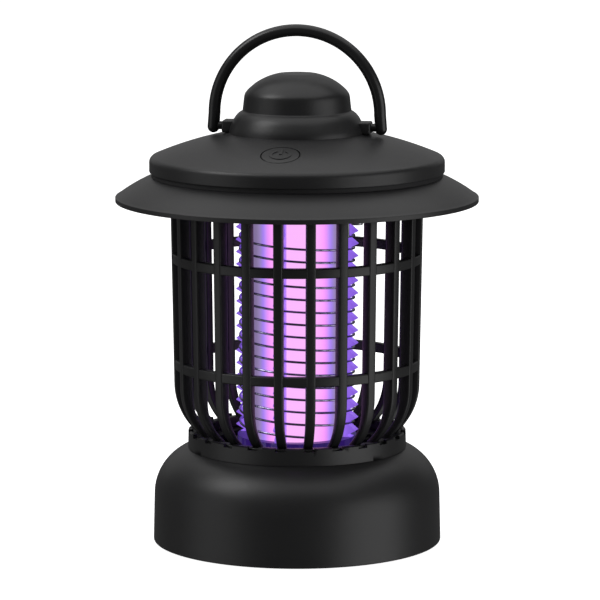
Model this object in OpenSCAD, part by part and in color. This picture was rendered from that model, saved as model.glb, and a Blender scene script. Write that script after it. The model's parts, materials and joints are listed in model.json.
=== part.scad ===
// Lantern-style rechargeable bug zapper: an insect tray, a ribbed cage round a glowing grid core,
// and a brimmed head that holds the electronics, the power button and a swinging bail handle.
// Millimetres. Origin: centre of the resting plane. +Z up, -Y is the front with the power button.

/* [Tray] */
// Outer radius of the tray at its lower edge
tray_r = 52.9; // [46:0.1:64]
// Height of the tray, from its lower edge to its mouth
tray_h = 34.6; // [28:0.1:44]
// Radius of the tray's rounded shoulder, seen from the side
tray_shoulder_r = 18.2; // [14:0.1:24]
// How far the tray's straight wall leans in
tray_draft = 0.4; // [0:0.1:1]
// Wall thickness of the tray
tray_wall = 2.2; // [1.6:0.1:3]
// Radius of the tray's mouth
mouth_r = 37.5; // [36:0.1:38.5]
// Thickness of the tray's bottom plate
floor_t = 2.2; // [1.8:0.1:3]
// How far the bottom plate is set up inside the tray
floor_recess = 0.8; // [0.4:0.1:2]
// Radius of a rubber foot
foot_r = 6; // [4:0.1:7]
// How far the rubber feet stand out below the tray
foot_out = 0.6; // [0.3:0.1:1.5]
// Depth of the pocket that holds a rubber foot
foot_pocket = 0.6; // [0.3:0.1:1]

/* [Collar] */
// Outer radius of the collar at its lower edge
collar_r = 40.1; // [39.6:0.1:42]
// Height of the collar
collar_h = 6.4; // [5:0.1:9]
// Wall thickness of the collar
collar_wall = 1.6; // [1.2:0.1:2]
// Thickness of the collar's flange, spokes and hub
flange_t = 2; // [1.6:0.1:2.6]
// Depth of the spigot that plugs into the tray
spigot_h = 7; // [4:0.1:10]
// Radial gap between the spigot and the tray's mouth
spigot_gap = 0.3; // [0.2:0.05:0.5]
// Wall thickness of the spigot
spigot_wall = 1.8; // [1.2:0.1:2]
// Width of a spoke
spoke_w = 5; // [3:0.1:7]
// Depth of the notches that the rib feet show through
notch_h = 1.3; // [0.6:0.1:2]

/* [Cage] */
// Height of the lit opening, from the collar to the head
light_h = 84.8; // [70:0.1:110]
// Outer radius of the ribs at the top
cage_top_r = 46.2; // [44:0.1:50]
// Outer radius of the ribs where they start to curve in
cage_low_r = 45.1; // [43:0.1:46.5]
// Number of ribs
rib_count = 24; // [16:4:28]
// Width of a rib
rib_w = 3.3; // [2.4:0.1:4.4]
// Depth of a rib, towards the centre
rib_depth = 4.2; // [3:0.1:5.5]
// Radius of the inward bend at the ribs' lower ends
rib_bend_r = 24.5; // [20:0.1:30]
// Height above the collar at which the ribs start to bend
rib_bend_z = 17.9; // [16:0.1:20]
// Height of a band
band_h = 3.6; // [2.4:0.1:5]
// Depth of a band, towards the centre
band_depth = 3; // [2:0.1:4]
// How far a band lies back from the ribs' outer faces
band_set_in = 0.25; // [0.1:0.05:0.8]
// Height of the lower band's middle above the collar
band_low_z = 24.9; // [20:0.1:34]
// Height of the upper band's middle above the collar
band_high_z = 64.0; // [50:0.1:68]
// Height of the ring that joins the ribs' upper ends
cage_ring_h = 2.6; // [2:0.1:4]

/* [Grid core] */
// Outer radius of the lamp tube
tube_r = 18.3; // [15:0.1:18.6]
// Wall thickness of the lamp tube
tube_wall = 1.4; // [1:0.1:2]
// Radius at which the grid wires run
wire_ring_r = 20.9; // [20.8:0.1:24]
// Radius of the grid wire itself
wire_r = 0.45; // [0.3:0.01:0.5]
// Height between neighbouring wires
wire_pitch = 4.58; // [4:0.01:5.4]
// Rows of wire seen at the front
wire_rows = 16; // [10:1:16]
// Height of the lowest wire at the front above the core's base
wire_foot_z = 2.7; // [1:0.1:4]
// Width of a toothed post
post_w = 3.8; // [3.2:0.1:6]
// Length of a tooth, from notch to tip
tooth_depth = 2.9; // [1.6:0.1:3.2]
// Angle that the posts are turned by, seen from above
post_turn = -9; // [-16:1:16]
// Radius of the core's base and cap
core_disc_r = 24; // [23.8:0.1:26]
// Height of the core's base above the collar's flange
core_base_h = 3.2; // [3:0.1:4.3]
// Height of the core's cap below the head
core_cap_h = 5; // [4:0.1:7]

/* [Head] */
// Outer radius of the brim
brim_r = 66.2; // [58:0.1:76]
// Thickness of the brim
brim_t = 1.9; // [1.6:0.1:2.6]
// Radius of the brim's slight crown, seen from the side
brim_crown_r = 60; // [40:1:200]
// Thickness of the head's deck
deck_t = 2; // [1.6:0.1:2.6]
// Height from the deck's underside to the shelf that carries the roof
head_wall_h = 8.7; // [8.4:0.1:12]
// Thickness of the head's wall
head_wall = 1.8; // [1.4:0.1:2.4]
// Outer radius of the roof's rim
roof_r = 54.0; // [53:0.1:57]
// Wall thickness of the roof
roof_wall = 2; // [1.6:0.1:2.2]
// Height from the gasket to the roof's flat land
roof_rise = 14.1; // [13.5:0.1:17]
// Radius of the roof's crown
crown_r = 134; // [120:1:180]
// Radius of the rounding along the roof's rim
rim_round = 2.4; // [2.4:0.1:4]
// Thickness of the gasket between brim and roof
gasket_t = 1.7; // [0.6:0.1:2.2]

/* [Shoulder, dome and handle] */
// Radius of the shoulder's foot
shoulder_r = 24.7; // [24:0.1:26]
// Height of the shoulder
shoulder_h = 8.2; // [7.4:0.1:10]
// Radius of the dome at its foot
dome_r = 19.8; // [17:0.1:20.5]
// Height of the dome
dome_h = 13.4; // [11:0.1:17]
// Wall thickness of the shoulder and dome
cap_wall = 1.8; // [1.4:0.1:2.2]
// Radius of the handle's wire
bail_wire_r = 2.2; // [1.6:0.1:2.6]
// Outer radius of the handle's bow
bail_r = 32.6; // [32.2:0.1:36]
// Height of the bow's centre above the pivot
bail_rise = 4.6; // [3:0.1:8]
// Height of the pivot above the roof's land
pivot_h = 2.2; // [2.1:0.1:3.2]
// Radius of the handle's pin
pin_r = 1.5; // [1.2:0.1:1.8]
// Radial running clearance round the handle's pin
pin_gap = 0.05; // [0.03:0.01:0.1]
// Gap between an ear and the handle's leg
ear_gap = 1.0; // [0.5:0.1:1.2]
// How far each of the handle's legs leans outward at its foot
leg_splay = 0.4; // [0:0.1:0.6]
// Width of an ear, front to back
ear_w = 8; // [6:0.1:10]

/* [Button and charging port] */
// Radius of the power button
button_r = 6.8; // [6:0.1:8]
// Gap round the power button
button_gap = 0.35; // [0.3:0.05:0.5]
// Distance of the power button from the axis
button_dist = 39.3; // [38.5:0.1:42]
// Travel of the power button
button_travel = 0.6; // [0.3:0.1:0.8]
// Width of the port cover
port_w = 12; // [11:0.1:14]
// Height of the port cover above its hinge
port_h = 3.4; // [3.2:0.1:3.8]
// Gap round the port cover
port_gap = 0.3; // [0.25:0.05:0.4]

/* [Electronics] */
// Radius of the battery cell
cell_r = 9.15; // [7:0.05:9.2]
// Length of the battery cell
cell_l = 50; // [44:0.1:50]
// Distance of the battery cell behind the axis
cell_y = 4; // [2:0.1:5]
// Thickness of the circuit boards
board_t = 1.6; // [1:0.1:1.6]

/* [Hidden] */
$fn = 96;
cut = 1;

black = "#242426";
steel = "#b9bcc2";

// Levels, from the resting plane up
tray_z = foot_out;
mouth_z = tray_z + tray_h;
collar_z = mouth_z + collar_h;
deck_z = collar_z + light_h;
shelf_z = deck_z + head_wall_h;
rim_z = shelf_z + gasket_t;
land_z = rim_z + roof_rise;
dome_z = land_z + shoulder_h;
pivot_z = land_z + pivot_h;

// Small screws, all of one kind
screw_r = 1.25;
screw_head_r = 2.6;
screw_head_h = 1.5;
hole_gap = 0.15;
screw_hole_r = screw_r + hole_gap;
pilot_gap = 0.05;
pilot_r = screw_r + pilot_gap;
boss_r = 3.2;

// Tray
shoulder_end = 73;
shoulder_cz = mouth_z - tray_shoulder_r * sin(shoulder_end);
shoulder_cr = tray_r - tray_draft - tray_shoulder_r;
floor_gap = 0.2;
floor_r = tray_r - tray_draft - tray_wall - floor_gap;
floor_z = tray_z + floor_recess;
floor_screw_ring = floor_r - screw_head_r - 1.1;
foot_ring = floor_screw_ring - foot_r - boss_r - 0.6;
head_sink = 1.1;
tray_boss_h = 11;
tray_web = 3;

// Collar and cage
flange_z = mouth_z + flange_t;
collar_in_r = collar_r - collar_wall;
cage_fit = 0.3;
foot_ring_out = collar_in_r - cage_fit;
foot_ring_in = foot_ring_out - 3.7;
foot_ring_top = collar_z - 0.6;
collar_screw_ring = mouth_r - spigot_gap - spigot_wall - screw_head_r - 0.3;
flange_in_r = collar_screw_ring - screw_head_r - 0.4;
rib_pitch = 360 / rib_count;
cage_boss_r = 2.8;
bend_z = collar_z + rib_bend_z;
rib_in_low = foot_ring_in - 0.4;
inner_bend_z = bend_z - 3.5;
inner_drop = inner_bend_z - collar_z;
inner_run = cage_low_r - rib_depth - rib_in_low;
inner_bend_r = (inner_drop * inner_drop + inner_run * inner_run) / (2 * inner_run);
head_screw_ring = cage_top_r - rib_depth / 2 - 0.2;
head_screw_turn = rib_pitch * (floor(rib_count / 8) - 0.5);

// Grid core
core_base_z = flange_z + core_base_h - 0.6;
core_cap_z = deck_z - core_cap_h;
socket_depth = 1.8;
socket_gap = 0.1;
wire_lead = 2 * wire_pitch;
row_top_z = core_base_z + wire_foot_z + (wire_rows - 1) * wire_pitch;
notch_flat = 0.5;
wire_seat_gap = 0.45;
notch_r = wire_ring_r - wire_r - wire_seat_gap;
tip_r = notch_r + tooth_depth;
tip_flat = 0.3;
flank_up = 0.6 * (wire_pitch - notch_flat);
post_foot_r = notch_r + 1.2;
post_in_r = tube_r + socket_gap;
post_half_angle = asin(post_w / 2 / wire_ring_r);
wire_side = post_half_angle + 4;
wire_start = post_turn - 90 - wire_side;
wire_half_turns = wire_rows - 1;
terminal_r = 0.6;
wire_sides = 6;
wire_step = 10;
led_count = 7;

// Head
wall_in_r = roof_r - roof_wall - head_wall - 0.3;
wall_out_r = wall_in_r + head_wall;
shelf_r = roof_r - 0.9;
brim_edge_h = 1.5;
lip_drop = 0.4;
crown_cz = land_z - sqrt(crown_r * crown_r - shoulder_r * shoulder_r);
roof_hole_r = 17;
deck_top = deck_z + deck_t;

// Shoulder, dome and handle
leg_x = bail_r - bail_wire_r;
ear_x = leg_x - bail_wire_r - ear_gap;
ear_h = 2 * pivot_h - 0.1;
leg_drop = bail_rise + 0.5;
leg_lean = atan(leg_splay / leg_drop);
leg_l = leg_drop / cos(leg_lean);
pin_depth = 3;
pin_end_gap = 0.3;
dome_plug_r = dome_r - 3.7;
dome_plug_gap = 0.2;
dome_plug_h = 3;
shoulder_screw_ring = 19.6;

// Button
button_tilt = asin(button_dist / crown_r);
button_z = crown_cz + sqrt(crown_r * crown_r - button_dist * button_dist);
button_flange = 1.2;
sleeve_in = button_r + button_flange + button_gap;
sleeve_out = sleeve_in + 1.2;
flange_top = -roof_wall - 0.6;
flange_low = flange_top - 1;
plunger_top = flange_low - 2.4;
plunger_r = 1.7;
switch_top = plunger_top - 1.5;
switch_h = 3.5;
switch_w = 6;
board_top = switch_top - switch_h;
plunger_gap = 0.08;
spring_r = 5.6;
spring_wire_r = 0.35;
spring_turns = 4;

// Charging port and electronics
port_hinge_z = rim_z + 1;
port_hinge_y = roof_r - 0.75;
port_cover_t = 1.4;
port_barrel_r = 0.7;
port_pin_r = 0.5;
port_pin_l = 0.9;
socket_w = 9;
socket_h = 3.2;
socket_l = 6.6;
socket_z = port_hinge_z + 0.5 + socket_h / 2;
charge_board_z = socket_z - socket_h / 2 - board_t;
holder_t = 1;
holder_wall = 1.8;
holder_gap = 0.25;
cell_z = deck_top + holder_t + cell_r + 0.1;
board_w = 44;
board_y0 = cell_y + cell_r + 2.4;
board_l = 19;
board_z = deck_top + 2.6;
parts_z = board_z + board_t;
lead_r = 0.7;

function arc(cx, cz, r, a0, a1, n = 16) =
    [for (i = [0:n]) let(a = a0 + (a1 - a0) * i / n) [cx + r * cos(a), cz + r * sin(a)]];

// Height of the wire that passes angle phi in turn k, counted from the top row at the front
function wire_z(phi, half_turn) = row_top_z - wire_pitch * half_turn - wire_lead * phi / 360;

module tube(r_out, r_in, z0, z1) {
    translate([0, 0, z0]) difference() {
        cylinder(r = r_out, h = z1 - z0);
        translate([0, 0, -cut]) cylinder(r = r_in, h = z1 - z0 + 2 * cut);
    }
}

// A radial profile, given as radius and height, cut to a slab of width w that faces the front
module slab(w) {
    rotate([0, 0, -90]) rotate([90, 0, 0]) linear_extrude(height = w, center = true) children();
}

module round_copies(count, turn = 0) {
    for (i = [0:count - 1]) rotate([0, 0, turn + i * 360 / count]) children();
}

module at_front(r, z = 0) {
    translate([0, -r, z]) children();
}

// A pan-head screw with its head downwards: the head's upper face is at z = 0
module screw(length) {
    translate([0, 0, -0.01]) cylinder(r = screw_r, h = length + 0.01);
    difference() {
        translate([0, 0, -screw_head_h])
            cylinder(r1 = screw_head_r - 0.5, r2 = screw_head_r, h = screw_head_h);
        for (a = [0, 90]) rotate([0, 0, a]) translate([-1.5, -0.3, -screw_head_h - cut])
            cube([3, 0.6, cut + 0.8]);
    }
}

// A round tube with few sides swept along a list of points
module sweep(path, r, sides) {
    last = len(path) - 1;
    function unit(v) = v / norm(v);
    function ahead(i) = unit(path[min(i + 1, last)] - path[max(i - 1, 0)]);
    function side(i) = let(t = ahead(i), s = cross(t, [0, 0, 1])) norm(s) > 0.05 ? unit(s) : [0, 1, 0];
    points = [for (i = [0:last]) let(s = side(i), u = cross(s, ahead(i)))
        for (j = [0:sides - 1]) let(a = 360 * j / sides) path[i] + r * (cos(a) * s + sin(a) * u)];
    walls = [for (i = [0:last - 1]) for (j = [0:sides - 1]) let(k = (j + 1) % sides)
        for (half = [0, 1]) half == 0
            ? [i * sides + j, i * sides + k, (i + 1) * sides + k]
            : [i * sides + j, (i + 1) * sides + k, (i + 1) * sides + j]];
    ends = [[for (j = [sides - 1:-1:0]) j], [for (j = [0:sides - 1]) last * sides + j]];
    polyhedron(points = points, faces = concat(walls, ends), convexity = 10);
}

// ---------- Tray ----------

module tray_profile(inset, top) {
    r = tray_shoulder_r - inset;
    rise = min(top - shoulder_cz, r * 0.999);
    polygon(concat([[0, tray_z - cut * sign(inset)], [tray_r - inset, tray_z - cut * sign(inset)]],
        [[tray_r - inset, tray_z]],
        arc(shoulder_cr, shoulder_cz, r, 0, asin(rise / r), 20), [[0, top]]));
}

module tray_shell() {
    color(black) difference() {
        union() {
            difference() {
                rotate_extrude() tray_profile(0, mouth_z);
                rotate_extrude() tray_profile(tray_wall, mouth_z - tray_wall);
            }
            round_copies(4, 45) at_front(floor_screw_ring, floor_z + floor_t) {
                cylinder(r = boss_r, h = tray_boss_h);
                translate([-tray_web / 2, floor_screw_ring - floor_r - 0.8, 0])
                    cube([tray_web, floor_r + 0.8 - floor_screw_ring, tray_boss_h]);
            }
            tube(mouth_r + 2, mouth_r, mouth_z - spigot_h, mouth_z);
        }
        translate([0, 0, mouth_z - spigot_h - cut]) cylinder(r = mouth_r, h = spigot_h + 2 * cut);
        round_copies(4, 45) at_front(floor_screw_ring, floor_z) cylinder(r = pilot_r, h = tray_boss_h);
    }
}

module tray_floor() {
    color(black) difference() {
        translate([0, 0, floor_z]) cylinder(r = floor_r, h = floor_t);
        round_copies(4, 45) at_front(floor_screw_ring, floor_z - cut) {
            cylinder(r = screw_hole_r, h = floor_t + 2 * cut);
            cylinder(r = screw_head_r + 0.3, h = cut + head_sink);
        }
        round_copies(4, 0) at_front(foot_ring, floor_z - cut) cylinder(r = foot_r, h = cut + foot_pocket);
    }
}

module foot_pads() {
    color("#18181a") round_copies(4, 0) at_front(foot_ring) {
        cylinder(r = foot_r, h = floor_z + foot_pocket);
    }
}

module floor_screws() {
    color(steel) round_copies(4, 45) at_front(floor_screw_ring, floor_z + head_sink)
        screw(floor_t - head_sink + 8);
}

// ---------- Collar and cage ----------

module collar_ring() {
    color(black) difference() {
        union() {
            rotate_extrude() polygon([[flange_in_r, mouth_z], [collar_r, mouth_z],
                [collar_r - 0.15, collar_z - 0.4], [collar_r - 0.5, collar_z],
                [collar_in_r, collar_z], [collar_in_r, flange_z], [flange_in_r, flange_z]]);
            tube(mouth_r - spigot_gap, mouth_r - spigot_gap - spigot_wall,
                mouth_z - spigot_h, mouth_z + 0.01);
            translate([0, 0, mouth_z]) cylinder(r = core_disc_r, h = flange_t);
            round_copies(4, 45 + post_turn) translate([-spoke_w / 2, -flange_in_r - cut, mouth_z])
                cube([spoke_w, flange_in_r - core_disc_r + 2 * cut + 1, flange_t]);
        }
        round_copies(rib_count) translate([-rib_w / 2 - 0.3, -collar_r - cut, collar_z - notch_h])
            cube([rib_w + 0.6, collar_wall + 2 * cut, notch_h + cut]);
        round_copies(4, rib_pitch / 2) at_front(collar_screw_ring, mouth_z - cut)
            cylinder(r = screw_hole_r, h = flange_t + 2 * cut);
        round_copies(3, 30) at_front(10, mouth_z - cut) cylinder(r = screw_hole_r, h = flange_t + 2 * cut);
    }
}

module collar_screws() {
    color(steel) round_copies(4, rib_pitch / 2) at_front(collar_screw_ring, mouth_z) screw(flange_t + 3);
}

module rib_profile() {
    outer_a = asin((bend_z - foot_ring_top) / rib_bend_r);
    inner_a = asin(min(0.999, (inner_bend_z - foot_ring_top) / inner_bend_r));
    polygon(concat(
        [[cage_top_r, deck_z]],
        arc(cage_low_r - rib_bend_r, bend_z, rib_bend_r, 0, -outer_a, 16),
        [[cage_low_r - rib_bend_r * (1 - cos(outer_a)), flange_z + 1]],
        [[rib_in_low + 1, flange_z + 1]],
        arc(cage_low_r - rib_depth - inner_bend_r, inner_bend_z, inner_bend_r, -inner_a, 0, 12),
        [[cage_top_r - rib_depth, deck_z]]));
}

function rib_face(z) = cage_low_r + (cage_top_r - cage_low_r) * (z - bend_z) / (deck_z - bend_z);

module band(z) {
    out = rib_face(z) - band_set_in;
    tube(out, out - band_depth, z - band_h / 2, z + band_h / 2);
}

module cage() {
    color(black) difference() {
        union() {
            round_copies(rib_count) slab(rib_w) rib_profile();
            band(collar_z + band_low_z);
            band(collar_z + band_high_z);
            tube(cage_top_r - 0.05, cage_top_r - rib_depth, deck_z - cage_ring_h, deck_z);
            tube(foot_ring_out, foot_ring_in, flange_z, foot_ring_top);
            round_copies(4, rib_pitch / 2) at_front(collar_screw_ring, flange_z) {
                cylinder(r = cage_boss_r, h = foot_ring_top - flange_z);
                translate([-cage_boss_r, collar_screw_ring - foot_ring_in - 0.5, 0])
                    cube([2 * cage_boss_r, foot_ring_in + 0.5 - collar_screw_ring, foot_ring_top - flange_z]);
            }
        }
        round_copies(4, rib_pitch / 2) at_front(collar_screw_ring, flange_z - cut)
            cylinder(r = pilot_r, h = 3.2 + cut);
        round_copies(4, head_screw_turn) at_front(head_screw_ring, deck_z - cage_ring_h - cut)
            cylinder(r = screw_hole_r, h = cage_ring_h + 2 * cut);
    }
}

// ---------- Grid core ----------

module core_sockets(z0, h) {
    tube(tube_r + socket_gap, tube_r - tube_wall - socket_gap, z0, z0 + h);
    round_copies(4, post_turn) translate([-post_w / 2 - socket_gap, -post_foot_r - socket_gap, z0])
        cube([post_w + 2 * socket_gap, post_foot_r - tube_r + tube_wall, h]);
}

module core_base() {
    color("#3b2a63") difference() {
        translate([0, 0, flange_z]) cylinder(r = core_disc_r - 2.2, h = core_base_z - flange_z);
        core_sockets(core_base_z - socket_depth, socket_depth + cut);
        translate([-5.3, -0.8 - socket_gap, core_base_z - socket_depth])
            cube([10.6, 1.6 + 2 * socket_gap, socket_depth + cut]);
        round_copies(3, 30) at_front(10, flange_z - cut) cylinder(r = pilot_r, h = core_base_h + 2 * cut);
    }
}

module core_screws() {
    color(steel) round_copies(3, 30) at_front(10, mouth_z) screw(flange_t + 2.2);
}

module lamp_tube() {
    color("#d9a6ff") tube(tube_r, tube_r - tube_wall, core_base_z - socket_depth, core_cap_z + socket_depth);
}

module led_board() {
    color("#e8e8e4") translate([-5.2, -0.8, core_base_z - socket_depth])
        cube([10.4, 1.6, core_cap_z - core_base_z + 2 * socket_depth]);
}

module uv_leds() {
    span = core_cap_z - core_base_z - 16;
    color("#f4e9ff") for (i = [0:led_count - 1]) for (s = [0, 180])
        rotate([0, 0, s]) translate([-1.75, -1.8, core_base_z + 8 + span * i / (led_count - 1) - 1.4])
            cube([3.5, 1, 2.8]);
}

// One toothed post: a notch wherever a wire passes this angle, and plain feet in the base and cap
module grid_post(index) {
    phi = post_turn + 90 * index;
    high = core_cap_z - 1.6;
    top_row = wire_z(phi, 0);
    first = top_row + wire_pitch * floor((high - top_row) / wire_pitch);
    rows = floor((first - core_base_z - 0.6) / wire_pitch);
    last = first - rows * wire_pitch;
    foot_z = max(core_base_z + 0.2, last - notch_flat / 2 - 1.2);
    color("#b58cf0") rotate([0, 0, phi]) slab(post_w) polygon(concat(
        [[post_in_r, core_base_z - socket_depth], [post_in_r, core_cap_z + socket_depth],
         [post_foot_r, core_cap_z + socket_depth], [post_foot_r, core_cap_z - 0.4]],
        [for (k = [0:rows])
            let(z = first - k * wire_pitch, tip_z = z - notch_flat / 2 - flank_up) each concat(
            [[notch_r, z + notch_flat / 2], [notch_r, z - notch_flat / 2]],
            k == rows ? [] : [[tip_r, tip_z + tip_flat / 2], [tip_r, tip_z - tip_flat / 2]])],
        [[post_foot_r, foot_z], [post_foot_r, core_base_z - socket_depth]]));
}

// One of the two wires: a helix from beside a side post at the top to its end near the base
module grid_wire(start, end_phi, half_turn) {
    steps = ceil((end_phi - start) / wire_step);
    path = [for (i = [0:steps]) let(phi = start + (end_phi - start) * i / steps)
        [wire_ring_r * sin(phi), -wire_ring_r * cos(phi), wire_z(phi, half_turn)]];
    color("#c9ccd2") sweep(path, wire_r, wire_sides);
}

module grid_wire_a() {
    grid_wire(wire_start, wire_start + 180 * (wire_half_turns - 1) + 180 + 2 * wire_side, 0);
}

module grid_wire_b() {
    grid_wire(wire_start - 180, 180 * (wire_half_turns - 1) + 25, 1);
}

module grid_terminals() {
    color(steel) for (side = [0, 1]) {
        phi = wire_start - 180 * side;
        z = wire_z(phi, side);
        rotate([0, 0, phi]) at_front(wire_ring_r, z) translate([-terminal_r, 0, 0])
            cylinder(r = terminal_r, h = deck_top - 0.4 - z);
    }
}

module core_cap() {
    color(black) difference() {
        translate([0, 0, core_cap_z]) cylinder(r = core_disc_r, h = core_cap_h);
        core_sockets(core_cap_z - cut, socket_depth + cut);
        translate([-5.3, -0.8 - socket_gap, core_cap_z - cut])
            cube([10.6, 1.6 + 2 * socket_gap, socket_depth + cut]);
        terminal_holes(core_cap_z - cut, core_cap_h + 2 * cut);
        round_copies(3, 30) at_front(10, core_cap_z - cut)
            cylinder(r = screw_hole_r, h = core_cap_h + 2 * cut);
    }
}

module terminal_holes(z0, h) {
    for (side = [0, 1]) rotate([0, 0, wire_start - 180 * side]) at_front(wire_ring_r, z0)
        translate([-terminal_r, 0, 0]) cylinder(r = terminal_r + 0.3, h = h);
}

module cap_screws() {
    color(steel) round_copies(3, 30) at_front(10, core_cap_z) screw(core_cap_h + deck_t - 0.3);
}

// ---------- Head ----------

// The brim's upper surface, from its edge up to the shelf, drawn `down` millimetres lower
function brim_line(down) =
    let(x0 = brim_r - 0.5, z0 = deck_z + brim_edge_h, x1 = shelf_r, z1 = shelf_z,
        chord = norm([x1 - x0, z1 - z0]), lean = atan2(z1 - z0, x0 - x1),
        half = asin(chord / 2 / brim_crown_r),
        cx = (x0 + x1) / 2 - brim_crown_r * cos(half) * sin(lean),
        cz = (z0 + z1) / 2 - brim_crown_r * cos(half) * cos(lean))
    arc(cx, cz - down, brim_crown_r, 90 - lean - half, 90 - lean + half, 10);

module brim_shell() {
    under = brim_line(brim_t * 1.15);
    color(black) difference() {
        union() {
            rotate_extrude() polygon(concat(
                [[brim_r - 1.4, deck_z - lip_drop], [brim_r - 0.2, deck_z - lip_drop],
                 [brim_r, deck_z - lip_drop + 0.2], [brim_r, deck_z + 1.1], [brim_r - 0.2, deck_z + 1.35]],
                brim_line(0),
                [[wall_in_r, shelf_z], [wall_in_r, deck_z], [wall_out_r, deck_z]],
                [for (i = [len(under) - 1:-1:0]) if (under[i][0] > wall_out_r && under[i][1] > deck_z) under[i]]));
            translate([0, 0, deck_z]) cylinder(r = wall_in_r + 0.5, h = deck_t);
            for (x = [-1, 1]) {
                for (y = [board_y0 + 2.5, board_y0 + board_l - 2.5])
                    translate([x * (board_w / 2 - 3), y, deck_z]) cylinder(r = 1.8, h = board_z - deck_z);
                for (y = [37, 45])
                    translate([x * 4.6, y, deck_z]) cylinder(r = 1.5, h = charge_board_z - deck_z);
            }
        }
        round_copies(4, head_screw_turn) at_front(head_screw_ring, deck_z - cut)
            cylinder(r = screw_hole_r, h = deck_t + 2 * cut);
        round_copies(3, 30) at_front(10, deck_z - cut) cylinder(r = pilot_r, h = deck_t + 2 * cut);
        terminal_holes(deck_z - cut, deck_t + 2 * cut);
    }
}

module head_screws() {
    color(steel) round_copies(4, head_screw_turn) at_front(head_screw_ring, deck_z - cage_ring_h)
        screw(cage_ring_h + deck_t + 7);
}

module roof_gasket() {
    color("#18181a") tube(shelf_r - 0.1, wall_in_r + 0.6, shelf_z, rim_z);
}

// The roof's outer form, or with an inset the space inside it
module roof_form(inset, low) {
    round_r = rim_round - inset;
    ball = crown_r - inset;
    x = roof_r - rim_round;
    z = crown_cz + sqrt((crown_r - rim_round) * (crown_r - rim_round) - x * x);
    lean = asin(x / (crown_r - rim_round));
    edge = asin(shoulder_r / ball);
    polygon(concat([[0, low], [roof_r - inset, low]],
        arc(x, z, round_r, 0, 90 - lean, 10),
        arc(0, crown_cz, ball, 90 - lean - (edge - lean) / 20, 90 - edge, 20),
        [[0, crown_cz + sqrt(ball * ball - shoulder_r * shoulder_r)]]));
}

module at_button() {
    translate([0, -button_dist, button_z]) rotate([button_tilt, 0, 0]) children();
}

module button_rod(r, top, low) {
    at_button() translate([0, 0, low]) cylinder(r = r, h = top - low);
}

module roof_cover() {
    color(black) difference() {
        union() {
            difference() {
                rotate_extrude() roof_form(0, rim_z);
                rotate_extrude() roof_form(roof_wall, rim_z - cut);
            }
            intersection() {
                rotate_extrude() roof_form(roof_wall / 2, deck_top);
                union() {
                    round_copies(4, head_screw_turn) at_front(head_screw_ring, deck_top)
                        cylinder(r = boss_r, h = land_z - deck_top);
                    button_rod(sleeve_out, 4, board_top);
                }
            }
        }
        button_rod(sleeve_in, -roof_wall - 0.1, board_top - cut);
        button_rod(button_r + button_gap, 5, -5);
        round_copies(4, head_screw_turn) at_front(head_screw_ring, deck_top - cut)
            cylinder(r = pilot_r, h = 9);
        translate([0, 0, land_z - 2 * roof_wall]) cylinder(r = roof_hole_r, h = 4 * roof_wall);
        round_copies(3) at_front(shoulder_screw_ring, land_z - roof_wall - cut)
            cylinder(r = screw_hole_r, h = roof_wall + 2 * cut);
        port_recess();
    }
}

module port_recess() {
    half = port_w / 2 + port_gap;
    recess_top = port_hinge_z + port_h + port_gap;
    translate([-half, roof_r - port_cover_t - port_gap, rim_z - cut])
        cube([2 * half, 4, recess_top - rim_z + cut]);
    translate([-socket_w / 2 - 0.3, 40, socket_z - socket_h / 2 - 0.3]) cube([socket_w + 0.6, 14, socket_h + 0.6]);
    translate([-half - port_pin_l, port_hinge_y, port_hinge_z]) rotate([0, 90, 0])
        cylinder(r = port_pin_r + pin_gap, h = 2 * (half + port_pin_l));
}

module shoulder_cap() {
    // How far the bell has drawn in at each height, for a shoulder 8.2 high
    bell = [[0, 0], [0.15, 1.2], [0.55, 2.4], [1.05, 3.6], [1.55, 4.7], [2.1, 5.7], [2.9, 6.7], [3.7, 7.4]];
    profile = concat([for (p = bell) [shoulder_r - p[0], land_z + p[1] * shoulder_h / 8.2]],
        [[dome_r + 0.4, dome_z - 0.35], [dome_r, dome_z]]);
    color(black) difference() {
        union() {
            rotate_extrude() polygon(concat(profile,
                [[dome_plug_r + dome_plug_gap, dome_z], [dome_plug_r + dome_plug_gap, dome_z - cap_wall],
                 [dome_r - cap_wall, dome_z - cap_wall - 0.6], [shoulder_r - 4, land_z + 4.4],
                 [shoulder_r - 2.8, land_z + 3], [shoulder_r - 2.8, land_z]]));
            for (s = [0, 180]) rotate([0, 0, s]) translate([shoulder_r - 4, -ear_w / 2, land_z])
                cube([ear_x - shoulder_r + 4, ear_w, ear_h]);
            round_copies(3) at_front(shoulder_screw_ring, land_z) cylinder(r = 2.6, h = shoulder_h - cap_wall);
        }
        for (s = [0, 180]) rotate([0, 0, s]) translate([ear_x - pin_depth - pin_end_gap, 0, pivot_z])
            rotate([0, 90, 0]) cylinder(r = pin_r + pin_gap, h = pin_depth + pin_end_gap + cut);
        round_copies(3) at_front(shoulder_screw_ring, land_z - cut) cylinder(r = pilot_r, h = 5 + cut);
        translate([0, 0, dome_z - dome_plug_h - 0.5]) cylinder(r = dome_plug_r + dome_plug_gap, h = 5);
    }
}

module shoulder_screws() {
    color(steel) round_copies(3) at_front(shoulder_screw_ring, land_z - roof_wall - 0.05) screw(roof_wall + 4);
}

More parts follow.
